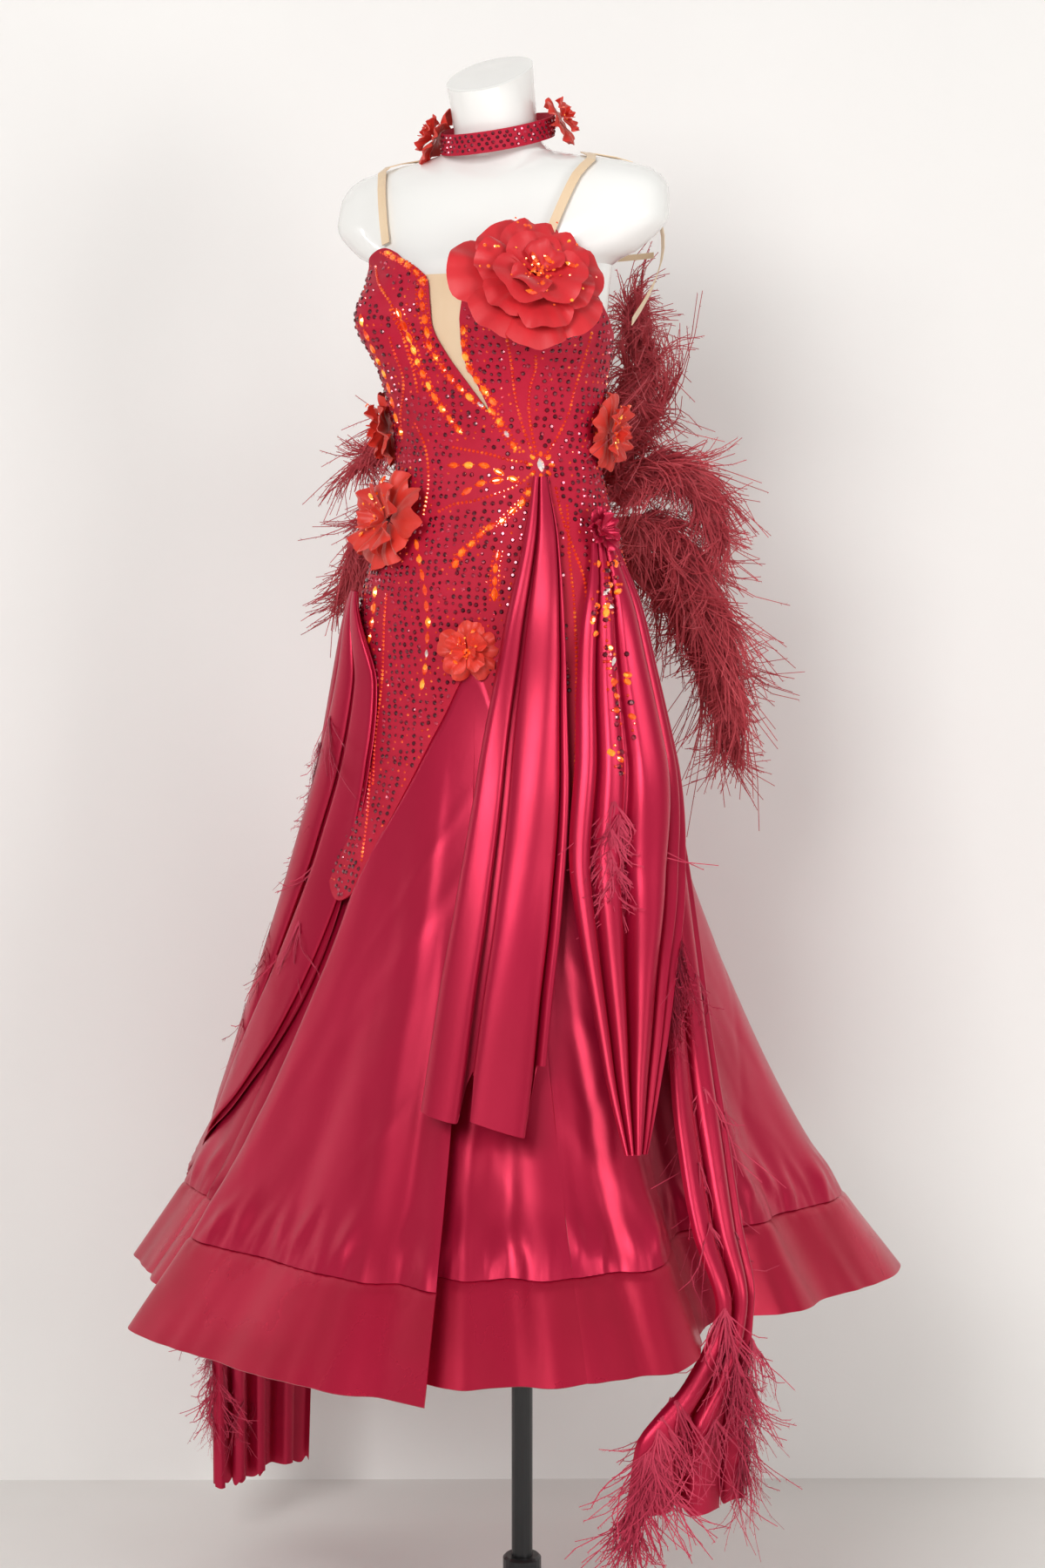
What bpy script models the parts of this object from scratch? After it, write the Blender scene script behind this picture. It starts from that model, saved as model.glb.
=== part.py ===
"""Ballroom dance dress on a limbless dress form, with its matching choker.

Metres, +Z up.  The origin is on the floor under the pole, the dress faces -Y and the
wearer's left is +X.  Most pieces are placed by turn (degrees round the body from centre
front, positive to the wearer's left), height above the floor and distance out from the
body's own surface.
"""

from math import cos, exp, pi, radians, sin, sqrt

import bmesh
import bpy
from mathutils import Vector

# ---------------------------------------------------------------- driving dimensions
BODY_Y = -0.05  # the body stands this far in front of the pole
FORM_FOOT = 1.13  # underside of the form, hidden in the skirt
FORM_INSET = 0.0055  # the form stays this far inside the surface that the cloth follows
NECK_TOP = 1.903  # middle of the form's slanted top face
NECK_SLANT = 0.50  # rise of that face from front to back
SQUARENESS = 2.15  # 2 is an ellipse

GAP = 0.0003  # left between pieces that meet
SHEATH = (0.0042, 0.0062)  # inner and outer side of the beaded cloth, out from the form
GORE = (0.0042, 0.0057)
MESH = (-0.0002, 0.0010)
BAND_WALL = 0.0022  # braid and two layers of satin
DRAPE_WALL = 0.0016

HEM = 0.475
BAND_DEEP = 0.095
APEX = 1.217  # where the two front points of the beaded sheath meet
FLARE_TOP = 1.15  # the skirt starts to flute below this height
FLARE_POWER = 1.7

POLE_RADIUS = 0.0132
HUB_RADIUS = 0.024
HUB_TOP = 0.095
BASE_RADIUS = 0.17
BASE_THICK = 0.008

# height, half width, front depth, back depth, centre's lean to the back
BODY = (
    (0.445, 0.474, 0.468, 0.460, 0.000),
    (0.495, 0.440, 0.430, 0.425, 0.000),
    (0.595, 0.375, 0.350, 0.345, 0.000),
    (0.695, 0.322, 0.288, 0.290, 0.000),
    (0.795, 0.280, 0.236, 0.245, -0.001),
    (0.895, 0.245, 0.190, 0.205, -0.003),
    (0.995, 0.215, 0.152, 0.172, -0.006),
    (1.095, 0.192, 0.122, 0.139, -0.009),
    (1.205, 0.176, 0.104, 0.120, -0.014),
    (1.285, 0.166, 0.102, 0.106, -0.018),
    (1.365, 0.143, 0.097, 0.092, -0.015),
    (1.465, 0.120, 0.088, 0.080, -0.013),
    (1.545, 0.132, 0.094, 0.083, -0.020),
    (1.620, 0.148, 0.100, 0.086, -0.028),
    (1.680, 0.152, 0.094, 0.090, -0.024),
    (1.697, 0.184, 0.088, 0.090, -0.018),
    (1.735, 0.219, 0.082, 0.088, -0.010),
    (1.763, 0.217, 0.077, 0.088, -0.005),
    (1.785, 0.202, 0.068, 0.084, -0.002),
    (1.798, 0.164, 0.060, 0.078, 0.000),
    (1.805, 0.118, 0.055, 0.070, -0.002),
    (1.811, 0.082, 0.052, 0.060, -0.006),
    (1.819, 0.061, 0.051, 0.054, -0.010),
    (1.838, 0.054, 0.052, 0.052, -0.018),
    (1.903, 0.0515, 0.0545, 0.0545, -0.034),
)
BUST_TURN = 46.0
BUST_HEIGHT = 1.617
BUST_REACH = 0.034
BUST_WIDE = 19.0
BUST_TALL = 0.052

# lower edge of the beaded sheath: turn, height
SHEATH_LOW = (
    (-180.0, 1.160),
    (-135.0, 1.150),
    (-92.0, 1.120),
    (-75.0, 1.045),
    (-58.0, 0.972),
    (-44.0, 0.938),
    (-38.0, 0.948),
    (-31.5, 1.017),
    (-23.5, 1.077),
    (-9.0, 1.149),
    (13.0, 1.217),
    (25.0, 1.165),
    (38.0, 1.100),
    (49.0, 1.062),
    (56.0, 1.055),
    (75.0, 1.085),
    (92.0, 1.120),
    (135.0, 1.150),
    (180.0, 1.160),
)
# outlines of the sheath's panels: turn, height
RIGHT_TOP = ((-92, 1.612), (-80, 1.640), (-70, 1.670), (-62, 1.690), (-53.5, 1.701),
             (-44, 1.695), (-35.5, 1.685), (-27, 1.677), (-19, 1.666))
RIGHT_PLUNGE = ((23.4, 1.505), (10.5, 1.537), (-2.5, 1.569), (-11.5, 1.601),
                (-13.5, 1.629), (-16, 1.655), (-19, 1.666))
LEFT_TOP = ((9, 1.648), (15, 1.668), (26, 1.688), (40, 1.699), (53.5, 1.703),
            (62, 1.690), (70, 1.668), (80, 1.636), (92, 1.606))
LEFT_PLUNGE = ((23.7, 1.505), (16, 1.537), (8.5, 1.563), (6.5, 1.585), (6.5, 1.613),
               (9, 1.648))
CENTRE_SEAM = ((13.0, 1.217), (17.0, 1.360), (23.5, 1.505))
BACK_TOP = ((92, 1.606), (110, 1.580), (135, 1.548), (160, 1.532), (180, 1.528))
# nude mesh insert: height, right edge's turn, left edge's turn
INSERT = (
    (1.484, 17.0, 28.0),
    (1.515, 12.0, 27.0),
    (1.540, 3.0, 21.0),
    (1.570, -8.0, 15.0),
    (1.600, -17.0, 13.0),
    (1.635, -19.0, 14.0),
    (1.667, -24.0, 16.0),
)

# hem of each gore: turn, distance out from the body's middle, height
HEMS = {
    "front_right": (
        (-58, 0.426, 0.478), (-48, 0.456, 0.476), (-38, 0.476, 0.474), (-26, 0.476, 0.474),
        (-12, 0.486, 0.474), (0, 0.492, 0.474), (9, 0.502, 0.472), (18, 0.520, 0.470),
    ),
    "front_left": (
        (9, 0.428, 0.476), (17, 0.452, 0.474), (24, 0.462, 0.472), (31, 0.463, 0.472),
        (38, 0.450, 0.474),
    ),
    "side_left": (
        (38, 0.450, 0.474), (44, 0.456, 0.474), (50, 0.448, 0.474), (56, 0.425, 0.478),
        (60, 0.400, 0.482),
    ),
    "back_left": (
        (60, 0.388, 0.484), (68, 0.375, 0.490), (78, 0.392, 0.488), (92, 0.415, 0.484),
        (106, 0.446, 0.480), (120, 0.480, 0.478), (130, 0.470, 0.480),
    ),
    "centre_back_left": (
        (130, 0.470, 0.480), (142, 0.440, 0.484), (156, 0.472, 0.480), (168, 0.478, 0.480),
        (180, 0.450, 0.482),
    ),
    "centre_back_right": (
        (-180, 0.450, 0.482), (-168, 0.476, 0.480), (-155, 0.474, 0.480),
        (-142, 0.442, 0.484), (-128, 0.462, 0.480),
    ),
    "side_right": (
        (-128, 0.462, 0.480), (-115, 0.440, 0.484), (-100, 0.458, 0.480),
        (-85, 0.468, 0.478), (-71, 0.450, 0.478), (-58, 0.426, 0.478),
    ),
}
FRONT_SPLIT = (13.0, 18.0)  # turn of the front right gore's left edge, at its top and hem
TUCK = 9.0  # turn of the next gore's edge at the hem, tucked behind it
TUCK_TOP = 0.98  # height where the tuck starts

# drapes and floats: height, right turn, left turn, distance out from the body's
# surface, depth of the folds
CENTRE_DRAPE = (
    (1.436, 47.0, 55.0, 0.012, 0.002),
    (1.360, 40.0, 57.0, 0.015, 0.005),
    (1.250, 29.5, 56.5, 0.018, 0.007),
    (1.100, 17.0, 53.0, 0.023, 0.008),
    (0.950, 11.8, 44.5, 0.033, 0.009),
    (0.850, 10.5, 38.6, 0.045, 0.010),
    (0.718, 11.0, 33.0, 0.068, 0.010),
)
HIP_DRAPE = (
    (1.360, 72.0, 87.0, 0.015, 0.003),
    (1.260, 62.0, 94.0, 0.021, 0.006),
    (1.120, 55.0, 96.0, 0.031, 0.009),
    (0.980, 47.5, 82.0, 0.040, 0.009),
    (0.880, 47.0, 69.0, 0.050, 0.009),
    (0.790, 47.0, 60.0, 0.056, 0.008),
    (0.695, 48.0, 52.0, 0.058, 0.003),
)
# height, right turn, left turn, distance out from the body's middle, depth of folds
LEFT_FLOAT = (
    (1.130, 96.0, 110.0, 0.194, 0.002),
    (1.000, 80.0, 99.0, 0.228, 0.003),
    (0.900, 72.0, 90.0, 0.257, 0.004),
    (0.800, 67.0, 82.0, 0.292, 0.006),
    (0.700, 62.5, 76.5, 0.334, 0.007),
    (0.600, 61.0, 72.5, 0.376, 0.007),
    (0.520, 62.0, 70.0, 0.410, 0.005),
    (0.445, 56.0, 68.5, 0.412, 0.007),
    (0.380, 47.5, 67.5, 0.412, 0.010),
    (0.300, 46.0, 67.5, 0.412, 0.012),
)
# the same, with the distance out from the body's surface
RIGHT_FLOAT = (
    (1.300, -84.0, -66.0, 0.019, 0.002),
    (1.200, -100.0, -50.0, 0.028, 0.005),
    (1.090, -108.0, -46.0, 0.036, 0.006),
    (0.990, -114.0, -46.5, 0.040, 0.007),
    (0.890, -118.0, -57.0, 0.040, 0.008),
    (0.790, -121.0, -66.0, 0.040, 0.009),
    (0.690, -124.0, -76.0, 0.042, 0.009),
    (0.590, -126.0, -86.0, 0.046, 0.009),
    (0.500, -126.0, -95.0, 0.050, 0.008),
    (0.420, -123.0, -99.0, 0.020, 0.009),
    (0.250, -121.0, -101.0, 0.016, 0.012),
    (0.090, -120.0, -101.0, 0.014, 0.012),
)
HUG = 0.55  # the right float's front edge lies this much closer to the body

# name, turn, height, turn that it faces, radius, lift of the rim, distance out
FLOWERS = (
    ("bust_flower", 43.0, 1.642, 40.0, 0.090, 0.034, 0.018),
    ("hip_flower", -49.0, 1.385, -34.0, 0.062, 0.022, 0.016),
    ("right_side_flower", -80.0, 1.492, -72.0, 0.045, 0.018, 0.015),
    ("left_waist_flower", 100.0, 1.487, 96.0, 0.046, 0.018, 0.015),
    ("front_flower", 10.5, 1.236, 14.0, 0.035, 0.014, 0.012),
)
BROOCH = (52.5, 1.449)  # turn, height
CHOKER_FLOWERS = (
    ("choker_flower_right", -72.0, 0.033),
    ("choker_flower_left", 104.0, 0.031),
)
CHOKER_SIDE = 0.0645
CHOKER_DEPTH = 0.0630
CHOKER_TALL = 0.024
CHOKER_WALL = 0.002
CHOKER_MIDDLE = (0.0, BODY_Y - 0.013, 1.8350)
CHOKER_TILT = (0.05, 0.27)  # rise to the wearer's left and to the back

# strap over the shoulder: turn, height (mirrored for the other side)
STRAP_OUT = (0.0022, 0.0034)
STRAP_WIDE = 0.011
SHOULDER_PATH = ((54.0, 1.7055), (57.0, 1.730), (60.5, 1.755), (65.5, 1.779),
                 (74.0, 1.797), (90.0, 1.8065), (106.0, 1.797), (117.0, 1.777))
RIGHT_BACK_PATH = ((127.0, 1.742), (135.0, 1.690), (140.0, 1.630), (142.5, 1.552))
LEFT_FREE_PATH = ((0.146, 0.064, 1.745), (0.150, 0.070, 1.705), (0.151, 0.046, 1.668),
                  (0.152, 0.012, 1.640), (0.154, -0.026, 1.616))
CROSS_PATH = ((0.138, 0.074, 1.700), (0.090, 0.080, 1.698), (0.0, 0.084, 1.697),
              (-0.096, 0.070, 1.692))

# ostrich plumes: name, then points of the quill as side, back and height, widest half
PLUMES = (
    ("plume_left_1", ((0.052, 0.086, 1.425), (0.084, 0.116, 1.490), (0.106, 0.108, 1.560),
                      (0.100, 0.108, 1.630)), 0.044),
    ("plume_left_2", ((0.088, 0.058, 1.405), (0.132, 0.084, 1.445), (0.165, 0.125, 1.435),
                      (0.190, 0.140, 1.380)), 0.042),
    ("plume_left_3", ((0.070, 0.088, 1.375), (0.125, 0.125, 1.368), (0.172, 0.155, 1.290),
                      (0.195, 0.170, 1.205)), 0.048),
    ("plume_left_4", ((0.060, 0.130, 1.350), (0.112, 0.180, 1.310), (0.155, 0.220, 1.210),
                      (0.172, 0.238, 1.125)), 0.048),
    ("plume_right_1", ((-0.085, 0.060, 1.410), (-0.165, 0.072, 1.425),
                       (-0.235, 0.070, 1.380), (-0.272, 0.065, 1.310)), 0.042),
    ("plume_right_2", ((-0.060, 0.085, 1.420), (-0.135, 0.105, 1.485),
                       (-0.200, 0.095, 1.500), (-0.250, 0.080, 1.470)), 0.036),
)
PLUME_FLATNESS = 0.34

# feather tufts on the drapes: name, points as turn, distance out, height, widest half
TUFTS = (
    ("tuft_float_right_1", ((-112, 0.512, 0.420), (-112, 0.520, 0.300), (-113, 0.524, 0.180)),
     0.030),
    ("tuft_float_right_2", ((-101, 0.512, 0.360), (-99, 0.520, 0.260), (-98, 0.524, 0.170)),
     0.024),
    ("tuft_float_left_1", ((52, 0.438, 0.450), (47, 0.450, 0.360), (42, 0.456, 0.290)), 0.028),
    ("tuft_float_left_2", ((64, 0.440, 0.520), (67, 0.452, 0.430), (69, 0.458, 0.330)), 0.028),
    ("tuft_hip_1", ((62, 0.262, 1.060), (57, 0.276, 1.030), (53, 0.288, 0.985)), 0.017),
    ("tuft_hip_2", ((78, 0.316, 0.900), (77, 0.330, 0.850), (76, 0.342, 0.800)), 0.018),
    ("tuft_side_right", ((-78, 0.243, 1.110), (-80, 0.260, 1.050), (-81, 0.282, 0.985)), 0.018),
)

# name: colour, roughness, metallic
FINISHES = {
    "satin": ((0.48, 0.012, 0.045), 0.36, 0.0),
    "beaded cloth": ((0.45, 0.012, 0.050), 0.60, 0.0),
    "flower satin": ((0.62, 0.016, 0.020), 0.50, 0.0),
    "feather": ((0.28, 0.030, 0.045), 0.90, 0.0),
    "nude elastic": ((0.80, 0.58, 0.36), 0.70, 0.0),
    "glossy white": ((0.90, 0.90, 0.86), 0.18, 0.0),
    "black metal": ((0.012, 0.012, 0.012), 0.35, 0.0),
    "crystal": ((0.85, 0.20, 0.02), 0.08, 0.0),
}


# ---------------------------------------------------------------- working functions
def clear_scene():
    for item in list(bpy.data.objects):
        bpy.data.objects.remove(item)


def finish(name):
    if name in bpy.data.materials:
        return bpy.data.materials[name]
    colour, roughness, metallic = FINISHES[name]
    material = bpy.data.materials.new(name)
    material.use_nodes = True
    shader = material.node_tree.nodes["Principled BSDF"]
    shader.inputs["Base Color"].default_value = (*colour, 1.0)
    shader.inputs["Roughness"].default_value = roughness
    shader.inputs["Metallic"].default_value = metallic
    return material


def smooth_row(table, at):
    """The table's other columns where its first column is `at`, with no overshoot."""
    keys = [row[0] for row in table]
    if at <= keys[0]:
        return table[0][1:]
    if at >= keys[-1]:
        return table[-1][1:]
    i = max(k for k in range(len(keys) - 1) if keys[k] <= at)
    step = keys[i + 1] - keys[i]
    t = (at - keys[i]) / step
    found = []
    for c in range(1, len(table[0])):
        slopes = [
            (table[k + 1][c] - table[k][c]) / (keys[k + 1] - keys[k])
            for k in range(max(i - 1, 0), min(i + 2, len(keys) - 1))
        ]
        here = slopes[min(i, 1)]
        before = slopes[0] if i else here
        after = slopes[-1]
        leave = 0.0 if before * here <= 0 else 2 * before * here / (before + here)
        arrive = 0.0 if after * here <= 0 else 2 * after * here / (after + here)
        found.append(
            (2 * t**3 - 3 * t**2 + 1) * table[i][c]
            + (t**3 - 2 * t**2 + t) * leave * step
            + (3 * t**2 - 2 * t**3) * table[i + 1][c]
            + (t**3 - t**2) * arrive * step
        )
    return found


def by_height(table, height):
    return smooth_row(sorted(table), height)


def along(points, t):
    """A point a fraction t of the way along a smooth curve through the points."""
    points = [Vector(p) for p in points]
    ends = [0.0]
    for a, b in zip(points, points[1:]):
        ends.append(ends[-1] + sqrt((b - a).length))
    target = min(max(t, 0.0), 1.0) * ends[-1]
    i = min(max(k for k in range(len(points)) if ends[k] <= target), len(points) - 2)
    u = (target - ends[i]) / (ends[i + 1] - ends[i])
    a, b = points[i], points[i + 1]
    before = points[i - 1] if i else a + a - b
    after = points[i + 2] if i + 2 < len(points) else b + b - a
    return (
        a * 2 + (b - before) * u
        + (before * 2 - a * 5 + b * 4 - after) * u**2
        + (a * 3 - before - b * 3 + after) * u**3
    ) / 2


def body_radius(turn, height):
    side, front, back, _ = smooth_row(BODY, height)
    deep = front if cos(radians(turn)) > 0 else back
    across = abs(sin(radians(turn))) / side
    through = abs(cos(radians(turn))) / deep
    radius = (across**SQUARENESS + through**SQUARENESS) ** (-1 / SQUARENESS)
    rise = ((height - BUST_HEIGHT) / BUST_TALL) ** 2
    for breast in (-BUST_TURN, BUST_TURN):
        radius += BUST_REACH * exp(-(((turn - breast) / BUST_WIDE) ** 2) - rise)
    return radius


def polar(turn, radius, height):
    """The point this far from the body's middle at this height."""
    lean = smooth_row(BODY, height)[3]
    return Vector((radius * sin(radians(turn)), BODY_Y + lean - radius * cos(radians(turn)), height))


def on_body(turn, height, out=0.0):
    return polar(turn, body_radius(turn, height) + out, height)


def outward(turn, height):
    """The direction straight off the body's surface."""
    step = 0.004
    across = on_body(turn + 1, height) - on_body(turn - 1, height)
    up = on_body(turn, height + step) - on_body(turn, height - step)
    return across.cross(up).normalized()


def keep(name, bm, material):
    bmesh.ops.recalc_face_normals(bm, faces=bm.faces[:])
    mesh = bpy.data.meshes.new(name)
    bm.to_mesh(mesh)
    bm.free()
    mesh.shade_smooth()
    mesh.set_sharp_from_angle(angle=radians(40))
    mesh.materials.append(finish(material))
    thing = bpy.data.objects.new(name, mesh)
    bpy.context.scene.collection.objects.link(thing)
    return thing


def even(count):
    return [k / count for k in range(count + 1)]


def wall(name, place, across, down, material):
    """A sheet of cloth. place(u, v, side) gives its inner (0) and outer (1) face."""
    bm = bmesh.new()
    sides = [
        [[bm.verts.new(place(u, v, side)) for u in across] for v in down] for side in (0, 1)
    ]
    for grid in sides:
        for r in range(len(down) - 1):
            for c in range(len(across) - 1):
                bm.faces.new((grid[r][c], grid[r][c + 1], grid[r + 1][c + 1], grid[r + 1][c]))
    rims = []
    for grid in sides:
        rims.append(
            grid[0][:] + [row[-1] for row in grid[1:]] + grid[-1][-2::-1]
            + [row[0] for row in grid[-2:0:-1]]
        )
    inner, outer = rims
    for k in range(len(inner)):
        j = (k + 1) % len(inner)
        bm.faces.new((inner[k], inner[j], outer[j], outer[k]))
    return keep(name, bm, material)


def skin(name, rings, material):
    """A closed body through rings of points, with a flat face at each end."""
    bm = bmesh.new()
    loops = [[bm.verts.new(p) for p in ring] for ring in rings]
    count = len(loops[0])
    for low, high in zip(loops, loops[1:]):
        for k in range(count):
            j = (k + 1) % count
            bm.faces.new((low[k], low[j], high[j], high[k]))
    bm.faces.new(loops[0][::-1])
    bm.faces.new(loops[-1])
    return keep(name, bm, material)


def quill_body(name, path, half, flatness, facing, material, sides=7, steps=6):
    """A tapering leaf-like body along a path: the reach of a feather's barbs."""
    rings = []
    for s in range(steps + 1):
        t = s / steps
        here = along(path, t)
        ahead = along(path, min(t + 0.02, 1)) - along(path, max(t - 0.02, 0))
        across = ahead.cross(facing).normalized()
        through = across.cross(ahead).normalized()
        reach = half * (0.18 + 0.82 * sin(pi * (0.12 + 0.80 * t)))
        rings.append([
            here + across * reach * cos(2 * pi * k / sides)
            + through * reach * flatness * sin(2 * pi * k / sides)
            for k in range(sides)
        ])
    return skin(name, rings, material)


def strip(name, path, out, wide, material, steps):
    """An elastic on its edge-to-edge path. path(t) gives a point and its way out."""
    def place(u, v, side):
        here, away = path(v)
        ahead = path(min(v + 0.01, 1))[0] - path(max(v - 0.01, 0))[0]
        across = ahead.cross(away).normalized()
        return here + across * wide * (u - 0.5) + away * out[side]

    return wall(name, place, (0.0, 1.0), even(steps), material)


# ---------------------------------------------------------------- the stand
def make_form():
    columns = 30
    heights = [FORM_FOOT, 1.20, 1.27, 1.34, 1.41, 1.48, 1.54, 1.58, 1.615, 1.65, 1.68,
               1.695, 1.72, 1.75, 1.777, 1.793, 1.801, 1.807, 1.814, 1.824, 1.840]
    turns = [360 * k / columns - 180 for k in range(columns)]
    rings = [[on_body(turn, height, -FORM_INSET) for turn in turns] for height in heights]
    top = []
    for turn in turns:
        point = on_body(turn, NECK_TOP)
        point.z += NECK_SLANT * (point.y - polar(0, 0, NECK_TOP).y)
        top.append(point)
    middle = [low.lerp(high, 0.5) for low, high in zip(rings[-1], top)]
    return skin("form", rings + [middle, top], "glossy white")


def turned(name, profile, sides, material):
    """A round body about the pole's axis through radius, height pairs."""
    rings = [
        [Vector((r * cos(2 * pi * k / sides), r * sin(2 * pi * k / sides), z)) for k in range(sides)]
        for r, z in profile
    ]
    return skin(name, rings, material)


def make_stand():
    make_form()
    turned("pole", ((POLE_RADIUS, HUB_TOP + GAP), (POLE_RADIUS, FORM_FOOT - GAP)), 20, "black metal")
    turned(
        "hub",
        ((HUB_RADIUS * 1.5, BASE_THICK + GAP), (HUB_RADIUS * 1.5, BASE_THICK + 0.010),
         (HUB_RADIUS, BASE_THICK + 0.022), (HUB_RADIUS, HUB_TOP - 0.003),
         (HUB_RADIUS - 0.003, HUB_TOP)),
        24, "black metal",
    )
    turned(
        "base",
        ((BASE_RADIUS, 0.0), (BASE_RADIUS, BASE_THICK * 0.6), (BASE_RADIUS - 0.004, BASE_THICK)),
        40, "black metal",
    )


# ---------------------------------------------------------------- the sheath
def sheath_low(turn):
    return smooth_row(SHEATH_LOW, turn)[0]


def stops(right, left, step):
    """Turns from right to left: the low edge's own points and even steps between them."""
    marks = [right] + [turn for turn, _ in SHEATH_LOW if right + 1 < turn < left - 1] + [left]
    found = []
    for a, b in zip(marks, marks[1:]):
        parts = max(1, round((b - a) / step))
        found += [a + (b - a) * k / parts for k in range(parts)]
    return found + [left]


def shares(turns):
    return [(turn - turns[0]) / (turns[-1] - turns[0]) for turn in turns]


def panel(name, start, end, top, step, rows):
    """A sheath panel between two side outlines, its top outline and the low edge."""
    low_turns = (start(0).x, end(0).x)

    def low(u):
        turn = low_turns[0] + (low_turns[1] - low_turns[0]) * u
        return Vector((turn, sheath_low(turn)))

    def place(u, v, side):
        spread = (
            low(u) * (1 - v) + along(top, u) * v
            + start(v) * (1 - u) + end(v) * u
            - (low(0) * (1 - u) + low(1) * u) * (1 - v)
            - (Vector(top[0]) * (1 - u) + Vector(top[-1]) * u) * v
        )
        return on_body(spread.x, spread.y, SHEATH[side])

    return wall(name, place, shares(stops(*low_turns, step)), even(rows), "beaded cloth")


def straight(turn, top):
    """A side seam straight down from the height of its top."""
    low = Vector((turn, sheath_low(turn)))
    return lambda v: low.lerp(Vector((turn, top)), v)


def plunge_side(edge, shift):
    """Centre seam up to the foot of the plunge, then the plunge's edge."""
    def point(v):
        if v <= 0.5:
            return along(CENTRE_SEAM, 2 * v) + Vector((shift, 0.0))
        return along(edge, 2 * v - 1)
    return point


SEAM_TURN = 0.11  # half the gap between panels, in degrees
PANEL_STEP = 7.5


def make_sheath():
    panel("front_right_panel", straight(-92 + SEAM_TURN, 1.612), plunge_side(RIGHT_PLUNGE, -SEAM_TURN),
          ((-92 + SEAM_TURN, 1.612),) + RIGHT_TOP[1:], PANEL_STEP, 14)
    panel("front_left_panel", plunge_side(LEFT_PLUNGE, SEAM_TURN), straight(92 - SEAM_TURN, 1.606),
          LEFT_TOP[:-1] + ((92 - SEAM_TURN, 1.606),), PANEL_STEP, 14)
    back = ((92 + SEAM_TURN, 1.606),) + BACK_TOP[1:-1] + ((180 - SEAM_TURN, 1.528),)
    panel("back_left_panel", straight(92 + SEAM_TURN, 1.606), straight(180 - SEAM_TURN, 1.528),
          back, 12, 8)
    mirrored = tuple((-turn, height) for turn, height in reversed(back))
    panel("back_right_panel", straight(-180 + SEAM_TURN, 1.528), straight(-92 - SEAM_TURN, 1.606),
          mirrored, 12, 8)

    def insert(u, v, side):
        height = INSERT[0][0] + (INSERT[-1][0] - INSERT[0][0]) * v
        right, left = smooth_row(INSERT, height)
        return on_body(right + (left - right) * u, height, MESH[side])

    wall("plunge_insert", insert, even(8), even(10), "nude elastic")


def make_straps():
    def shoulder(sign, paths):
        points = [on_body(sign * turn, height) for turn, height in SHOULDER_PATH]
        aways = [outward(sign * turn, height) for turn, height in SHOULDER_PATH]
        for item in paths:
            if len(item) == 2:
                points.append(on_body(sign * item[0], item[1]))
                aways.append(outward(sign * item[0], item[1]))
            else:
                points.append(Vector(item))
                aways.append(Vector((0.75, 0.66, 0.1)))
        return lambda t: (along(points, t), along_like(points, aways, t).normalized())

    strip("strap_right", shoulder(-1, RIGHT_BACK_PATH), STRAP_OUT, STRAP_WIDE, "nude elastic", 30)
    strip("strap_left", shoulder(1, LEFT_FREE_PATH), STRAP_OUT, STRAP_WIDE, "nude elastic", 30)
    cross = [Vector(p) for p in CROSS_PATH]
    strip("strap_cross_back", lambda t: (along(cross, t), Vector((0, 1, 0))), STRAP_OUT, 0.007,
          "nude elastic", 8)


def along_like(points, values, t):
    """The values' blend at the place that along() gives for the same t."""
    ends = [0.0]
    for a, b in zip(points, points[1:]):
        ends.append(ends[-1] + sqrt((b - a).length))
    target = t * ends[-1]
    i = min(max(k for k in range(len(points)) if ends[k] <= target), len(points) - 2)
    return values[i].lerp(values[i + 1], (target - ends[i]) / (ends[i + 1] - ends[i]))


# ---------------------------------------------------------------- the skirt
def skirt_radius(gore, turn, height):
    """Distance out of a gore's inner face: the body's surface, fluted towards the hem."""
    reach, _ = smooth_row(HEMS[gore], turn)
    drop = max(FLARE_TOP - height, 0.0) / (FLARE_TOP - HEM)
    base = body_radius(turn, height)
    return base + (reach - body_radius(turn, HEM)) * drop**FLARE_POWER


def gore_edges(gore, height):
    """The gore's right and left turn at this height."""
    right, left = HEMS[gore][0][0], HEMS[gore][-1][0]
    down = min(max((APEX - height) / (APEX - HEM), 0.0), 1.0)
    if gore == "front_right":
        left = FRONT_SPLIT[0] + (FRONT_SPLIT[1] - FRONT_SPLIT[0]) * down
    if gore == "front_left":
        tucked = min(max((TUCK_TOP - height) / (TUCK_TOP - HEM), 0.0), 1.0)
        beside = FRONT_SPLIT[0] + (FRONT_SPLIT[1] - FRONT_SPLIT[0]) * down
        right = beside + (TUCK - FRONT_SPLIT[1]) * tucked**0.8
    return right + SEAM_TURN, left - SEAM_TURN


def make_gore(gore):
    top_right, top_left = gore_edges(gore, APEX)
    across = shares(stops(top_right, top_left, PANEL_STEP))

    def top_of(u):
        return sheath_low(top_right + (top_left - top_right) * u) - 3 * GAP

    def seam_of(u):
        right, left = gore_edges(gore, HEM)
        return smooth_row(HEMS[gore], right + (left - right) * u)[1] + BAND_DEEP

    def satin(u, v, side):
        height = top_of(u) + (seam_of(u) + GAP - top_of(u)) * v
        right, left = gore_edges(gore, height)
        below = right + (left - right) * u
        turn = top_right + (top_left - top_right) * u
        turn += (below - turn) * min(1.0, 4 * v)
        return polar(turn, skirt_radius(gore, turn, height) + GORE[side], height)

    def band(u, v, side):
        height = seam_of(u) - GAP - (BAND_DEEP - GAP) * v
        right, left = gore_edges(gore, height)
        turn = right + (left - right) * u
        return polar(turn, skirt_radius(gore, turn, height) + GORE[0] + BAND_WALL * side, height)

    wall(gore + "_gore", satin, across, even(6), "satin")
    wall(gore + "_hem_band", band, across, even(1), "satin")


def make_skirt():
    for gore in HEMS:
        make_gore(gore)


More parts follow.
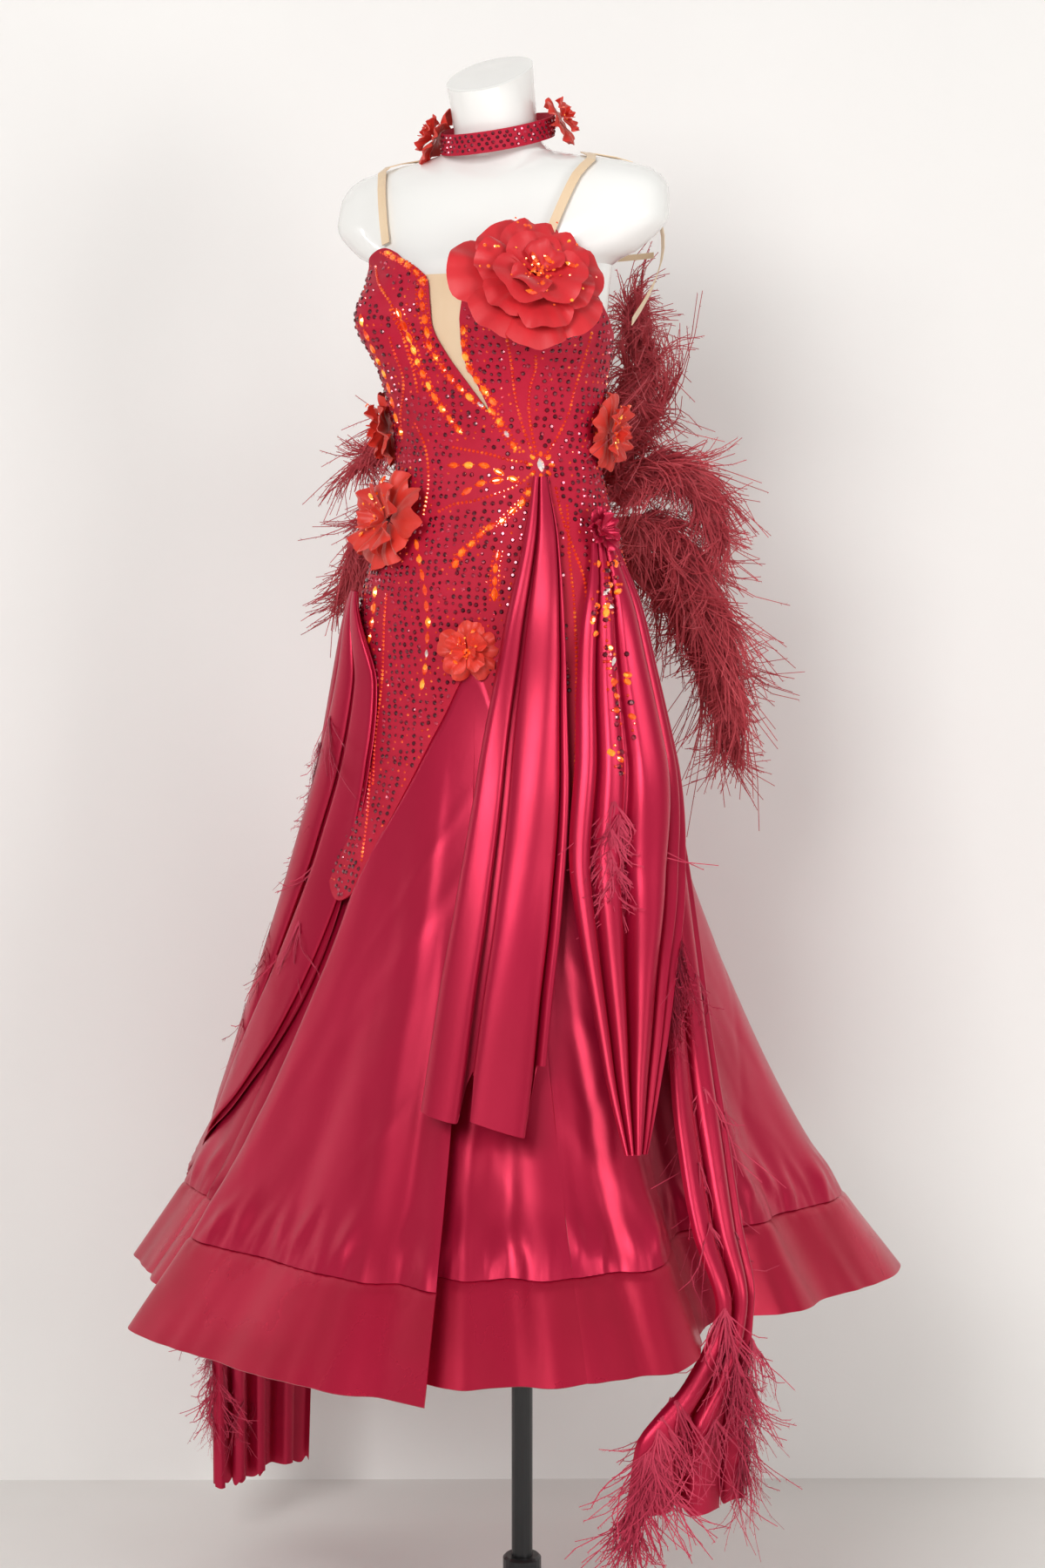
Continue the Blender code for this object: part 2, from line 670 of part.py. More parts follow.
# ---------------------------------------------------------------- drapes and floats
def folded(name, table, folds, base, columns, rows, phase=0.0, tail=None, hug=0.0):
    """A hanging sheet with folds down its length. base(turn, height) is what it lies on.

    hug brings its left edge in by that share of its distance out, above the hem.
    """
    top, bottom = table[0][0], table[-1][0]

    def place(u, v, side):
        foot = bottom + (tail(u) if tail else 0.0)
        height = top + (foot - top) * v
        right, left, out, deep = by_height(table, height)
        turn = right + (left - right) * u
        wave = sin(2 * pi * folds * u + phase) + 0.35 * sin(4 * pi * folds * u + 2 * phase + 1.0)
        settle = hug * min(max((u - 0.6) / 0.4, 0.0), 1.0) * min(max((height - 0.6) / 0.3, 0.0), 1.0)
        lift = (out + deep * wave) * (1 - settle)
        return polar(turn, base(turn, height) + lift + DRAPE_WALL * side, height)

    return wall(name, place, even(columns), even(rows), "satin")


def make_drapes():
    def nothing(turn, height):
        return 0.0

    def centre_tails(u):
        return 0.030 * (1 - u) ** 3 + 0.055 * max(u - 0.75, 0) * 4 * u

    folded("centre_drape", CENTRE_DRAPE, 3.5, body_radius, 21, 9, 0.4, centre_tails)
    folded("left_hip_drape", HIP_DRAPE, 3.0, body_radius, 18, 8, 1.0)
    folded("left_float", LEFT_FLOAT, 2.0, nothing, 12, 11, 0.5)
    folded("right_float", RIGHT_FLOAT, 3.0, body_radius, 18, 11, 0.9, hug=HUG)


# ---------------------------------------------------------------- trims
def flower_body(name, middle, axis, radius, lift, material="flower satin"):
    """A closed blossom: a shallow lobed bowl of petals round an axis."""
    side = axis.orthogonal().normalized()
    other = axis.cross(side)
    lobes = 5
    points = 15
    # fraction of the radius, height as a fraction of the rim's lift
    profile = ((0.12, 0.0), (0.60, 0.10), (1.00, 0.70), (0.86, 0.86), (0.45, 0.75), (0.14, 1.0))
    rings = []
    for reach, rise in profile:
        ring = []
        for k in range(points):
            angle = 2 * pi * k / points
            lobe = 1 + 0.07 * cos(lobes * angle) * reach
            spot = side * cos(angle) + other * sin(angle)
            ring.append(middle + spot * radius * reach * lobe + axis * lift * rise)
        rings.append(ring)
    return skin(name, rings, material)


def choker_point(turn, up, out):
    x = (CHOKER_SIDE + out) * sin(radians(turn))
    y = -(CHOKER_DEPTH + out) * cos(radians(turn))
    rise = CHOKER_TILT[0] * x + CHOKER_TILT[1] * y
    return Vector(CHOKER_MIDDLE) + Vector((x, y, rise + up))


def make_choker():
    closing = 0.6  # degrees left open at the back hook

    def place(u, v, side):
        turn = -180 + closing + (360 - 2 * closing) * u
        return choker_point(turn, (v - 0.5) * CHOKER_TALL, CHOKER_WALL * side)

    wall("choker_band", place, even(30), even(1), "beaded cloth")
    for name, turn, radius in CHOKER_FLOWERS:
        axis = Vector((sin(radians(turn)), -cos(radians(turn)), 0.55)).normalized()
        flower_body(name, choker_point(turn, 0.006, CHOKER_WALL + 0.006), axis, radius, 0.016)


def make_trims():
    for name, turn, height, faces, radius, lift, out in FLOWERS:
        slope = outward(turn, height).z
        axis = Vector((sin(radians(faces)), -cos(radians(faces)), slope)).normalized()
        flower_body(name, on_body(turn, height, out), axis, radius, lift)
    brooch = on_body(*BROOCH, 0.0075)
    flower_body("brooch", brooch, outward(*BROOCH), 0.013, 0.006, "crystal")
    for name, points, half in PLUMES:
        quill_body(name, points, half, PLUME_FLATNESS, Vector((0.45, -0.89, 0.0)), "feather")
    for name, points, half in TUFTS:
        path = [polar(turn, out, height) for turn, out, height in points]
        facing = Vector((path[1].x, path[1].y - BODY_Y, 0.0)).normalized()
        quill_body(name, path, half, 0.32, facing, "feather", 6, 4)


def main():
    clear_scene()
    make_stand()
    make_sheath()
    make_straps()
    make_choker()
    make_skirt()
    make_drapes()
    make_trims()


if __name__ == "__main__":
    main()
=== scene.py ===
"""Looks of the ballroom dance dress on its limbless form: satin, beading, petals and plumes.

Pieces are placed as a dressmaker would chalk them: by turn (degrees round the body from
centre front, positive to the wearer's left), height, and distance out from the body.
The solids of the CAD say where each piece sits. This adds the cloth's folds, stones and barbs.
"""

import bpy
import numpy as np
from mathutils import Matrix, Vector


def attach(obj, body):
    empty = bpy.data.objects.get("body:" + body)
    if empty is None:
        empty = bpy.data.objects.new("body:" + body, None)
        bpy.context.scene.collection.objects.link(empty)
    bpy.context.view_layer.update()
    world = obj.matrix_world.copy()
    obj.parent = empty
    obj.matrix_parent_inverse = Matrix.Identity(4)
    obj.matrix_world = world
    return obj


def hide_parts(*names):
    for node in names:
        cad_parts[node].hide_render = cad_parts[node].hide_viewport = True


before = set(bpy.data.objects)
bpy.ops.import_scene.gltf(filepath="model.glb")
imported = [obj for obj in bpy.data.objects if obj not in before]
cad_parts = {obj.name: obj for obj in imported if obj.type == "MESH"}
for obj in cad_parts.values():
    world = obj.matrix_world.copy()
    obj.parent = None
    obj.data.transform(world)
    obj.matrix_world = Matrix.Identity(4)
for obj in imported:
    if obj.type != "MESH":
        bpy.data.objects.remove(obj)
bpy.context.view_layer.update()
BODY = "root"

# ---------------------------------------------------------------- the body's surface
BODY_Y = -0.05
SQUARENESS = 2.15  # 2 is an ellipse, more is squarer
NECK_TOP = 1.903
NECK_SLANT = 0.50
FORM_FOOT = 1.13
FORM_INSET = 0.0055  # how far the form lies under the surface that cloth is measured from
HEM = 0.475
BAND_DEEP = 0.095
APEX = 1.217  # where the gores' points meet the centre-front seam
FLARE_TOP = 1.15
FLARE_POWER = 1.7
SIDE_SEAM = 92.0

# height, half width, front depth, back depth, centre's lean to the back
SECTIONS = (
    (0.445, 0.474, 0.468, 0.460, 0.000),
    (0.495, 0.440, 0.430, 0.425, 0.000),
    (0.595, 0.375, 0.350, 0.345, 0.000),
    (0.695, 0.322, 0.288, 0.290, 0.000),
    (0.795, 0.280, 0.236, 0.245, -0.001),
    (0.895, 0.245, 0.190, 0.205, -0.003),
    (0.995, 0.215, 0.152, 0.172, -0.006),
    (1.095, 0.192, 0.122, 0.139, -0.009),
    (1.205, 0.176, 0.104, 0.120, -0.014),
    (1.285, 0.166, 0.102, 0.106, -0.018),
    (1.365, 0.143, 0.097, 0.092, -0.015),
    (1.465, 0.120, 0.088, 0.080, -0.013),
    (1.545, 0.132, 0.094, 0.083, -0.020),
    (1.620, 0.148, 0.100, 0.086, -0.028),
    (1.680, 0.152, 0.094, 0.090, -0.024),
    (1.697, 0.184, 0.088, 0.090, -0.018),
    (1.735, 0.219, 0.082, 0.088, -0.010),
    (1.763, 0.217, 0.077, 0.088, -0.005),
    (1.785, 0.202, 0.068, 0.084, -0.002),
    (1.798, 0.164, 0.060, 0.078, 0.000),
    (1.805, 0.118, 0.055, 0.070, -0.002),
    (1.811, 0.082, 0.052, 0.060, -0.006),
    (1.819, 0.061, 0.051, 0.054, -0.010),
    (1.838, 0.054, 0.052, 0.052, -0.018),
    (1.903, 0.0515, 0.0545, 0.0545, -0.034),
)
BUST_TURN = 46.0
BUST_HEIGHT = 1.617
BUST_REACH = 0.034
BUST_WIDE = 19.0  # degrees
BUST_TALL = 0.052

# lower edge of the beaded sheath: turn, height
SHEATH_LOW = (
    (-180.0, 1.160), (-135.0, 1.150), (-92.0, 1.120), (-75.0, 1.045), (-58.0, 0.972),
    (-44.0, 0.938), (-38.0, 0.948), (-31.5, 1.017), (-23.5, 1.077), (-9.0, 1.149),
    (13.0, 1.217), (25.0, 1.165), (38.0, 1.100), (49.0, 1.062), (56.0, 1.055),
    (75.0, 1.085), (92.0, 1.120), (135.0, 1.150), (180.0, 1.160),
)
# edges of the sheath's panels: turn, height
RIGHT_TOP = ((-92, 1.612), (-80, 1.640), (-70, 1.670), (-62, 1.690), (-53.5, 1.701),
             (-44, 1.695), (-35.5, 1.685), (-27, 1.677), (-19, 1.666))
RIGHT_PLUNGE = ((23.4, 1.505), (10.5, 1.537), (-2.5, 1.569), (-11.5, 1.601),
                (-13.5, 1.629), (-16, 1.655), (-19, 1.666))
LEFT_TOP = ((9, 1.648), (15, 1.668), (26, 1.688), (40, 1.699), (53.5, 1.703),
            (62, 1.690), (70, 1.668), (80, 1.636), (92, 1.606))
LEFT_PLUNGE = ((23.7, 1.505), (16, 1.537), (8.5, 1.563), (6.5, 1.585), (6.5, 1.613),
               (9, 1.648))
CENTRE_SEAM = ((13.0, 1.217), (17.0, 1.360), (23.5, 1.505))
BACK_TOP = ((92, 1.606), (110, 1.580), (135, 1.548), (160, 1.532), (180, 1.528))
# plunge insert: height, right turn, left turn
INSERT = (
    (1.484, 17.0, 28.0), (1.515, 12.0, 27.0), (1.540, 3.0, 21.0), (1.570, -8.0, 15.0),
    (1.600, -17.0, 13.0), (1.635, -19.0, 14.0), (1.667, -24.0, 16.0),
)
# hem of each gore: turn, distance out from the body's middle, height
HEMS = {
    "front_right": (
        (-58, 0.426, 0.478), (-48, 0.456, 0.476), (-38, 0.476, 0.474), (-26, 0.476, 0.474),
        (-12, 0.486, 0.474), (0, 0.492, 0.474), (9, 0.502, 0.472), (18, 0.520, 0.470),
    ),
    "front_left": (
        (9, 0.428, 0.476), (17, 0.452, 0.474), (24, 0.462, 0.472), (31, 0.463, 0.472),
        (38, 0.450, 0.474),
    ),
    "side_left": (
        (38, 0.450, 0.474), (44, 0.456, 0.474), (50, 0.448, 0.474), (56, 0.425, 0.478),
        (60, 0.400, 0.482),
    ),
    "back_left": (
        (60, 0.388, 0.484), (68, 0.375, 0.490), (78, 0.392, 0.488), (92, 0.415, 0.484),
        (106, 0.446, 0.480), (120, 0.480, 0.478), (130, 0.470, 0.480),
    ),
    "centre_back_left": (
        (130, 0.470, 0.480), (142, 0.440, 0.484), (156, 0.472, 0.480), (168, 0.478, 0.480),
        (180, 0.450, 0.482),
    ),
    "centre_back_right": (
        (-180, 0.450, 0.482), (-168, 0.476, 0.480), (-155, 0.474, 0.480),
        (-142, 0.442, 0.484), (-128, 0.462, 0.480),
    ),
    "side_right": (
        (-128, 0.462, 0.480), (-115, 0.440, 0.484), (-100, 0.458, 0.480),
        (-85, 0.468, 0.478), (-71, 0.450, 0.478), (-58, 0.426, 0.478),
    ),
}
FRONT_SPLIT = (13.0, 18.0)  # turn of the front opening at its top and at the hem
TUCK = 9.0  # turn where the front left gore starts at the hem, under the front right one
TUCK_TOP = 0.98


def smooth(table, at):
    """The table's other columns where its first column is `at`: smooth, no overshoot."""
    table = np.array(sorted(table), float)
    keys, values = table[:, 0], table[:, 1:]
    at = np.clip(np.asarray(at, float), keys[0], keys[-1])
    steps = np.diff(keys)
    slopes = np.diff(values, axis=0) / steps[:, None]
    before, after = slopes[:-1], slopes[1:]
    with np.errstate(divide="ignore", invalid="ignore"):
        inner = np.where(before * after > 0, 2 * before * after / (before + after), 0.0)
    turns = np.concatenate([slopes[:1], inner, slopes[-1:]])
    i = np.clip(np.searchsorted(keys, at, side="right") - 1, 0, len(keys) - 2)
    t = ((at - keys[i]) / steps[i])[..., None]
    step = steps[i][..., None]
    found = (
        (2 * t**3 - 3 * t**2 + 1) * values[i]
        + (t**3 - 2 * t**2 + t) * turns[i] * step
        + (3 * t**2 - 2 * t**3) * values[i + 1]
        + (t**3 - t**2) * turns[i + 1] * step
    )
    return np.moveaxis(found, -1, 0)


def along(points, t):
    """Points a fraction t of the way along a smooth curve through the given ones."""
    points = np.array(points, float)
    lengths = np.sqrt(np.linalg.norm(np.diff(points, axis=0), axis=1))
    ends = np.concatenate([[0], np.cumsum(lengths)])
    target = np.clip(np.asarray(t, float), 0, 1) * ends[-1]
    i = np.clip(np.searchsorted(ends, target, side="right") - 1, 0, len(points) - 2)
    u = ((target - ends[i]) / lengths[i])[..., None]
    wide = np.vstack([2 * points[0] - points[1], points, 2 * points[-1] - points[-2]])
    before, a, b, after = wide[i], wide[i + 1], wide[i + 2], wide[i + 3]
    return (
        a * 2 + (b - before) * u
        + (before * 2 - a * 5 + b * 4 - after) * u**2
        + (a * 3 - before - b * 3 + after) * u**3
    ) / 2


def body_radius(turn, height):
    """Distance from the body's middle line to its surface."""
    side, front, back, _ = smooth(SECTIONS, height)
    c, s = np.cos(np.radians(turn)), np.sin(np.radians(turn))
    deep = np.where(c > 0, front, back)
    radius = (np.abs(s) / side) ** SQUARENESS + (np.abs(c) / deep) ** SQUARENESS
    radius = radius ** (-1 / SQUARENESS)
    rise = ((height - BUST_HEIGHT) / BUST_TALL) ** 2
    for breast in (-BUST_TURN, BUST_TURN):
        radius = radius + BUST_REACH * np.exp(-(((turn - breast) / BUST_WIDE) ** 2) - rise)
    return radius


def polar(turn, radius, height):
    """Points at these turns, distances from the body's middle line, and heights."""
    turn, radius, height = np.broadcast_arrays(
        np.asarray(turn, float), np.asarray(radius, float), np.asarray(height, float)
    )
    lean = smooth(SECTIONS, height)[3]
    x = radius * np.sin(np.radians(turn))
    y = BODY_Y + lean - radius * np.cos(np.radians(turn))
    return np.stack([x, y, height], axis=-1)


def on_body(turn, height, out=0.0):
    """Points on the body's surface, or this far out from it."""
    return polar(turn, body_radius(turn, height) + out, height)


def unit(vectors):
    return vectors / np.maximum(np.linalg.norm(vectors, axis=-1, keepdims=True), 1e-12)


def outward(turn, height):
    """The ways straight out of the body's surface."""
    turn, height = np.asarray(turn, float), np.asarray(height, float)
    across = on_body(turn + 1, height) - on_body(turn - 1, height)
    up = on_body(turn, height + 0.004) - on_body(turn, height - 0.004)
    return unit(np.cross(across, up))


def hill(x, skew=0.0):
    """A soft ridge, steeper on one side as skew goes from 0 to 1 or -1."""
    return np.exp(-((x * (1 + skew * np.tanh(1.6 * x))) ** 2))


# ---------------------------------------------------------------- materials
def group(name, takes, gives):
    """An empty node group with its inputs (label, kind, value) and outputs (label, kind)."""
    tree = bpy.data.node_groups.new(name, "ShaderNodeTree")
    for label, kind, value in takes:
        socket = tree.interface.new_socket(label, in_out="INPUT", socket_type=kind)
        socket.default_value = value
    for label, kind in gives:
        tree.interface.new_socket(label, in_out="OUTPUT", socket_type=kind)
    return tree, tree.nodes.new("NodeGroupInput"), tree.nodes.new("NodeGroupOutput")


def node(tree, kind, links=(), **values):
    """A node with its settings, its sockets' values, and what is linked into it."""
    made = tree.nodes.new(kind)
    for key, value in values.items():
        if hasattr(made, key):
            setattr(made, key, value)
    for socket, value in links:
        target = made.inputs[socket]
        if isinstance(value, bpy.types.NodeSocket):
            tree.links.new(value, target)
        else:
            target.default_value = value
    return made


def sum_of(tree, first, second, operation):
    return node(tree, "ShaderNodeMath", [(0, first), (1, second)], operation=operation)


FLOAT, COLOUR = "NodeSocketFloat", "NodeSocketColor"


def weave_group():
    """Crossed fine threads, as a height."""
    tree, given, result = group(
        "thread weave", [("Pitch", FLOAT, 2600.0), ("Slub", FLOAT, 0.3)], [("Height", FLOAT)]
    )
    place = node(tree, "ShaderNodeTexCoord")
    waves = []
    for direction in ("X", "Z"):
        waves.append(node(
            tree, "ShaderNodeTexWave",
            [("Vector", place.outputs["Object"]), ("Scale", given.outputs["Pitch"]), ("Distortion", 0.6)],
            bands_direction=direction,
        ))
    slub = node(tree, "ShaderNodeTexNoise", [("Vector", place.outputs["Object"]), ("Scale", 240.0)])
    both = sum_of(tree, waves[0].outputs["Fac"], waves[1].outputs["Fac"], "MULTIPLY")
    some = sum_of(tree, slub.outputs["Fac"], given.outputs["Slub"], "MULTIPLY")
    height = sum_of(tree, both.outputs[0], some.outputs[0], "ADD")
    tree.links.new(height.outputs[0], result.inputs["Height"])
    return tree


def drift_group():
    """A colour that wanders a little between two dyes, and the mask it wanders by."""
    tree, given, result = group(
        "dye drift",
        [("First", COLOUR, (1, 1, 1, 1)), ("Second", COLOUR, (1, 1, 1, 1)), ("Scale", FLOAT, 9.0)],
        [("Color", COLOUR), ("Mask", FLOAT)],
    )
    place = node(tree, "ShaderNodeTexCoord")
    stretch = node(tree, "ShaderNodeMapping",
                   [("Vector", place.outputs["Object"]), ("Scale", (1.0, 1.0, 0.35))])
    noise = node(tree, "ShaderNodeTexNoise",
                 [("Vector", stretch.outputs[0]), ("Scale", given.outputs["Scale"]), ("Detail", 5.0)])
    ramp = node(tree, "ShaderNodeMapRange", [("Value", noise.outputs["Fac"]), ("From Min", 0.35),
                                             ("From Max", 0.65)])
    mix = node(tree, "ShaderNodeMix",
               [(0, ramp.outputs[0]), (6, given.outputs["First"]), (7, given.outputs["Second"])],
               data_type="RGBA")
    tree.links.new(mix.outputs[2], result.inputs["Color"])
    tree.links.new(ramp.outputs[0], result.inputs["Mask"])
    return tree


WEAVE = weave_group()
DRIFT = drift_group()


def place_group(tree, kind, **values):
    """A copy of a node group with its inputs set."""
    made = tree.nodes.new("ShaderNodeGroup")
    made.node_tree = kind
    for label, value in values.items():
        made.inputs[label].default_value = value
    return made


def material(name, first, second, drift=9.0, roughness=(0.4, 0.5), weave=0.0, pitch=2600.0,
             slub=0.3, **fixed):
    """A dyed surface: two close colours, a roughness range, and threads as bump."""
    made = bpy.data.materials.new(name)
    made.use_nodes = True
    tree = made.node_tree
    shader = tree.nodes["Principled BSDF"]
    for label, value in fixed.items():
        shader.inputs[label.replace("_", " ")].default_value = value
    tone = place_group(tree, DRIFT, First=(*first, 1), Second=(*second, 1), Scale=drift)
    tree.links.new(tone.outputs["Color"], shader.inputs["Base Color"])
    rough = node(tree, "ShaderNodeMapRange", [("Value", tone.outputs["Mask"]), ("To Min", roughness[0]),
                                              ("To Max", roughness[1])])
    tree.links.new(rough.outputs[0], shader.inputs["Roughness"])
    if weave:
        threads = place_group(tree, WEAVE, Pitch=pitch, Slub=slub)
        bump = node(tree, "ShaderNodeBump", [("Height", threads.outputs["Height"]), ("Strength", weave),
                                             ("Distance", 0.0004)])
        tree.links.new(bump.outputs[0], shader.inputs["Normal"])
    return made


SATIN_GLEAM = {"Metallic": 0.55, "Specular_IOR_Level": 0.5}
SATIN = material(
    "raspberry satin", (0.500, 0.0075, 0.050), (0.420, 0.0055, 0.038), 7.0, (0.30, 0.38), 0.10, 2400.0,
    **SATIN_GLEAM,
)
HEM_SATIN = material(
    "satin over braid", (0.500, 0.0080, 0.045), (0.420, 0.0060, 0.034), 12.0, (0.25, 0.36), 0.16, 2000.0,
    0.8, **SATIN_GLEAM,
)
BEADED = material(
    "raspberry stretch cloth", (0.500, 0.0060, 0.034), (0.420, 0.0045, 0.026), 14.0, (0.5, 0.62), 0.25,
    1800.0, Sheen_Weight=0.05, Sheen_Roughness=0.5, Sheen_Tint=(1.0, 0.15, 0.25, 1),
    Specular_IOR_Level=0.25,
)
NUDE = material(
    "nude mesh", (0.86, 0.66, 0.44), (0.82, 0.60, 0.38), 20.0, (0.5, 0.6), 0.35, 1500.0,
    Sheen_Weight=0.3,
)
WHITE = material(
    "glossy white form", (0.90, 0.895, 0.87), (0.87, 0.865, 0.84), 3.0, (0.12, 0.2), Coat_Weight=0.6,
    Coat_Roughness=0.06,
)
BLACK = material(
    "black stand", (0.012, 0.012, 0.013), (0.02, 0.02, 0.021), 30.0, (0.3, 0.42), Metallic=0.1,
    Coat_Weight=0.2,
)


# ---------------------------------------------------------------- making pieces
LAID = {}  # outer face of each sheet, for what is sewn to it


def on_sheet(targets, names):
    """The nearest places on the named sheets, and the ways out of the cloth there."""
    targets = np.atleast_2d(targets)
    places, ways = [], []
    for name in names:
        points = LAID[name]
        across = np.gradient(points, axis=1)
        up = np.gradient(points, axis=0)
        places.append(points.reshape(-1, 3))
        ways.append(unit(np.cross(across, up)).reshape(-1, 3))
    places, ways = np.vstack(places), np.vstack(ways)
    nearest = [int(np.argmin(((places - target) ** 2).sum(axis=1))) for target in targets]
    return places[nearest], ways[nearest]


def deselect():
    bpy.ops.object.select_all(action="DESELECT")


def dress_in(piece, stuff):
    piece.data.materials.clear()
    piece.data.materials.append(stuff)


def finish_piece(piece, stuff, replaces=()):
    """Gives a piece its material and body, and hides the solids that it stands for."""
    dress_in(piece, stuff)
    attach(piece, BODY)
    if replaces:
        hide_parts(*replaces)
    return piece


def apply(piece, kind, **values):
    """Adds a modifier to the active piece and applies it."""
    modifier = piece.modifiers.new(kind, kind)
    for key, value in values.items():
        setattr(modifier, key, value)
    bpy.ops.object.modifier_apply(modifier=modifier.name)


def grid(name, points):
    """A primitive grid with its points laid where the array (rows up, columns across) says."""
    rows, columns = points.shape[:2]
    deselect()
    bpy.ops.mesh.primitive_grid_add(x_subdivisions=columns - 1, y_subdivisions=rows - 1, size=1.0)
    piece = bpy.context.object
    piece.name = piece.data.name = name
    piece.data.vertices.foreach_set("co", np.ascontiguousarray(points, np.float32).ravel())
    piece.data.update()
    return piece


def cloth(name, points, thick, stuff, replaces):
    """A sheet of cloth whose outer face is the given grid."""
    piece = grid(name, points)
    LAID[name] = points
    apply(piece, "SOLIDIFY", thickness=thick, offset=-1.0)
    bpy.ops.object.shade_smooth_by_angle(angle=np.radians(50))
    return finish_piece(piece, stuff, replaces)


def closed_loft(name, points, stuff, replaces):
    """A closed body through rings; the first and last column of the array are the same."""
    piece = grid(name, points)
    bpy.ops.object.mode_set(mode="EDIT")
    bpy.ops.mesh.select_all(action="SELECT")
    bpy.ops.mesh.remove_doubles(threshold=0.00001)
    bpy.ops.mesh.fill_holes(sides=0)
    bpy.ops.mesh.normals_make_consistent(inside=False)
    bpy.ops.object.mode_set(mode="OBJECT")
    bpy.ops.object.shade_smooth_by_angle(angle=np.radians(35))
    return finish_piece(piece, stuff, replaces)


# ---------------------------------------------------------------- the stand
NECK_FOOT = 1.838
FORM_RINGS = 90


def make_form():
    turns = np.linspace(-180, 180, 97)
    heights = np.concatenate([[FORM_FOOT], np.linspace(FORM_FOOT + 0.002, NECK_FOOT, FORM_RINGS)])
    rings = list(on_body(turns[None, :], heights[:, None], -FORM_INSET))
    neck = rings[-1]
    top = on_body(turns, np.full_like(turns, NECK_TOP), -FORM_INSET * 0.5)
    middle = top.mean(axis=0)
    top[:, 2] += NECK_SLANT * (top[:, 1] - middle[1])
    for t in (0.25, 0.5, 0.75, 0.96):
        rings.append(neck * (1 - t) + top * t)
    for inset, drop in ((0.0, 0.0015), (0.02, 0.0004), (0.05, 0.0)):
        ring = middle + (top - middle) * (1 - inset)
        ring[:, 2] -= drop
        rings.append(ring)
    closed_loft("form_shell", np.array(rings), WHITE, ("form",))


def dress_solids():
    """The solids that are shown as they are: the stand's metal and the elastic straps."""
    for stuff, names in (
        (BLACK, ("pole", "hub", "base")),
        (NUDE, ("strap_right", "strap_left", "strap_cross_back")),
    ):
        for name in names:
            dress_in(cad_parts[name], stuff)


# ---------------------------------------------------------------- the sheath
SHEATH_OUT = 0.0062
SHEATH_THICK = 0.0018
MESH_OUT = 0.0012
MESH_THICK = 0.0008


def sheath_low(turn):
    """Height of the sheath's lower edge."""
    return smooth(SHEATH_LOW, turn)[0]


def panel_places(right, left, top, start, end, across, rows):
    """Turn and height over a panel, blended from its low edge, top and two sides."""
    u = np.linspace(0, 1, across)
    v = np.linspace(0, 1, rows)
    turn = right + (left - right) * u
    low = np.stack([turn, sheath_low(turn)], -1)
    high = along(top, u)
    near, far = start(v), end(v)
    u, v = u[None, :, None], v[:, None, None]
    return (
        low * (1 - v) + high * v + near[:, None] * (1 - u) + far[:, None] * u
        - (low[0] * (1 - u) + low[-1] * u) * (1 - v) - (high[0] * (1 - u) + high[-1] * u) * v
    )


def straight(turn, top):
    """A panel's side that runs straight up at one turn."""
    low = np.array([turn, sheath_low(turn)])
    return lambda v: low + (np.array([turn, top]) - low) * v[:, None]


def plunge_side(edge):
    """A panel's side that runs up the centre-front seam, then up the plunge."""
    def side(v):
        return np.where((v <= 0.5)[:, None], along(CENTRE_SEAM, 2 * v), along(edge, 2 * v - 1))
    return side


def sheath_panels():
    """Name, then turn and height over each panel of the beaded sheath."""
    centre, side_top, back_top = CENTRE_SEAM[0][0], BACK_TOP[0][1], BACK_TOP[-1][1]
    mirrored = tuple((-turn, height) for turn, height in reversed(BACK_TOP))
    return {
        "front_right_panel": panel_places(
            -SIDE_SEAM, centre, RIGHT_TOP, straight(-SIDE_SEAM, RIGHT_TOP[0][1]),
            plunge_side(RIGHT_PLUNGE), 72, 81),
        "front_left_panel": panel_places(
            centre, SIDE_SEAM, LEFT_TOP, plunge_side(LEFT_PLUNGE), straight(SIDE_SEAM, side_top), 62, 81),
        "back_left_panel": panel_places(
            SIDE_SEAM, 180, BACK_TOP, straight(SIDE_SEAM, side_top), straight(180, back_top), 40, 44),
        "back_right_panel": panel_places(
            -180, -SIDE_SEAM, mirrored, straight(-180, back_top), straight(-SIDE_SEAM, side_top), 40, 44),
    }


def make_sheath():
    for name, places in sheath_panels().items():
        points = on_body(places[..., 0], places[..., 1], SHEATH_OUT)
        piece = cloth(name + "_cloth", points, SHEATH_THICK, BEADED, (name,))
    heights = np.linspace(INSERT[0][0], INSERT[-1][0], 50)[:, None]
    right, left = smooth(INSERT, heights)
    turns = right + (left - right) * np.linspace(0, 1, 40)
    points = on_body(turns, heights + 0 * turns, MESH_OUT)
    piece = cloth("plunge_mesh", points, MESH_THICK, NUDE, ("plunge_insert",))


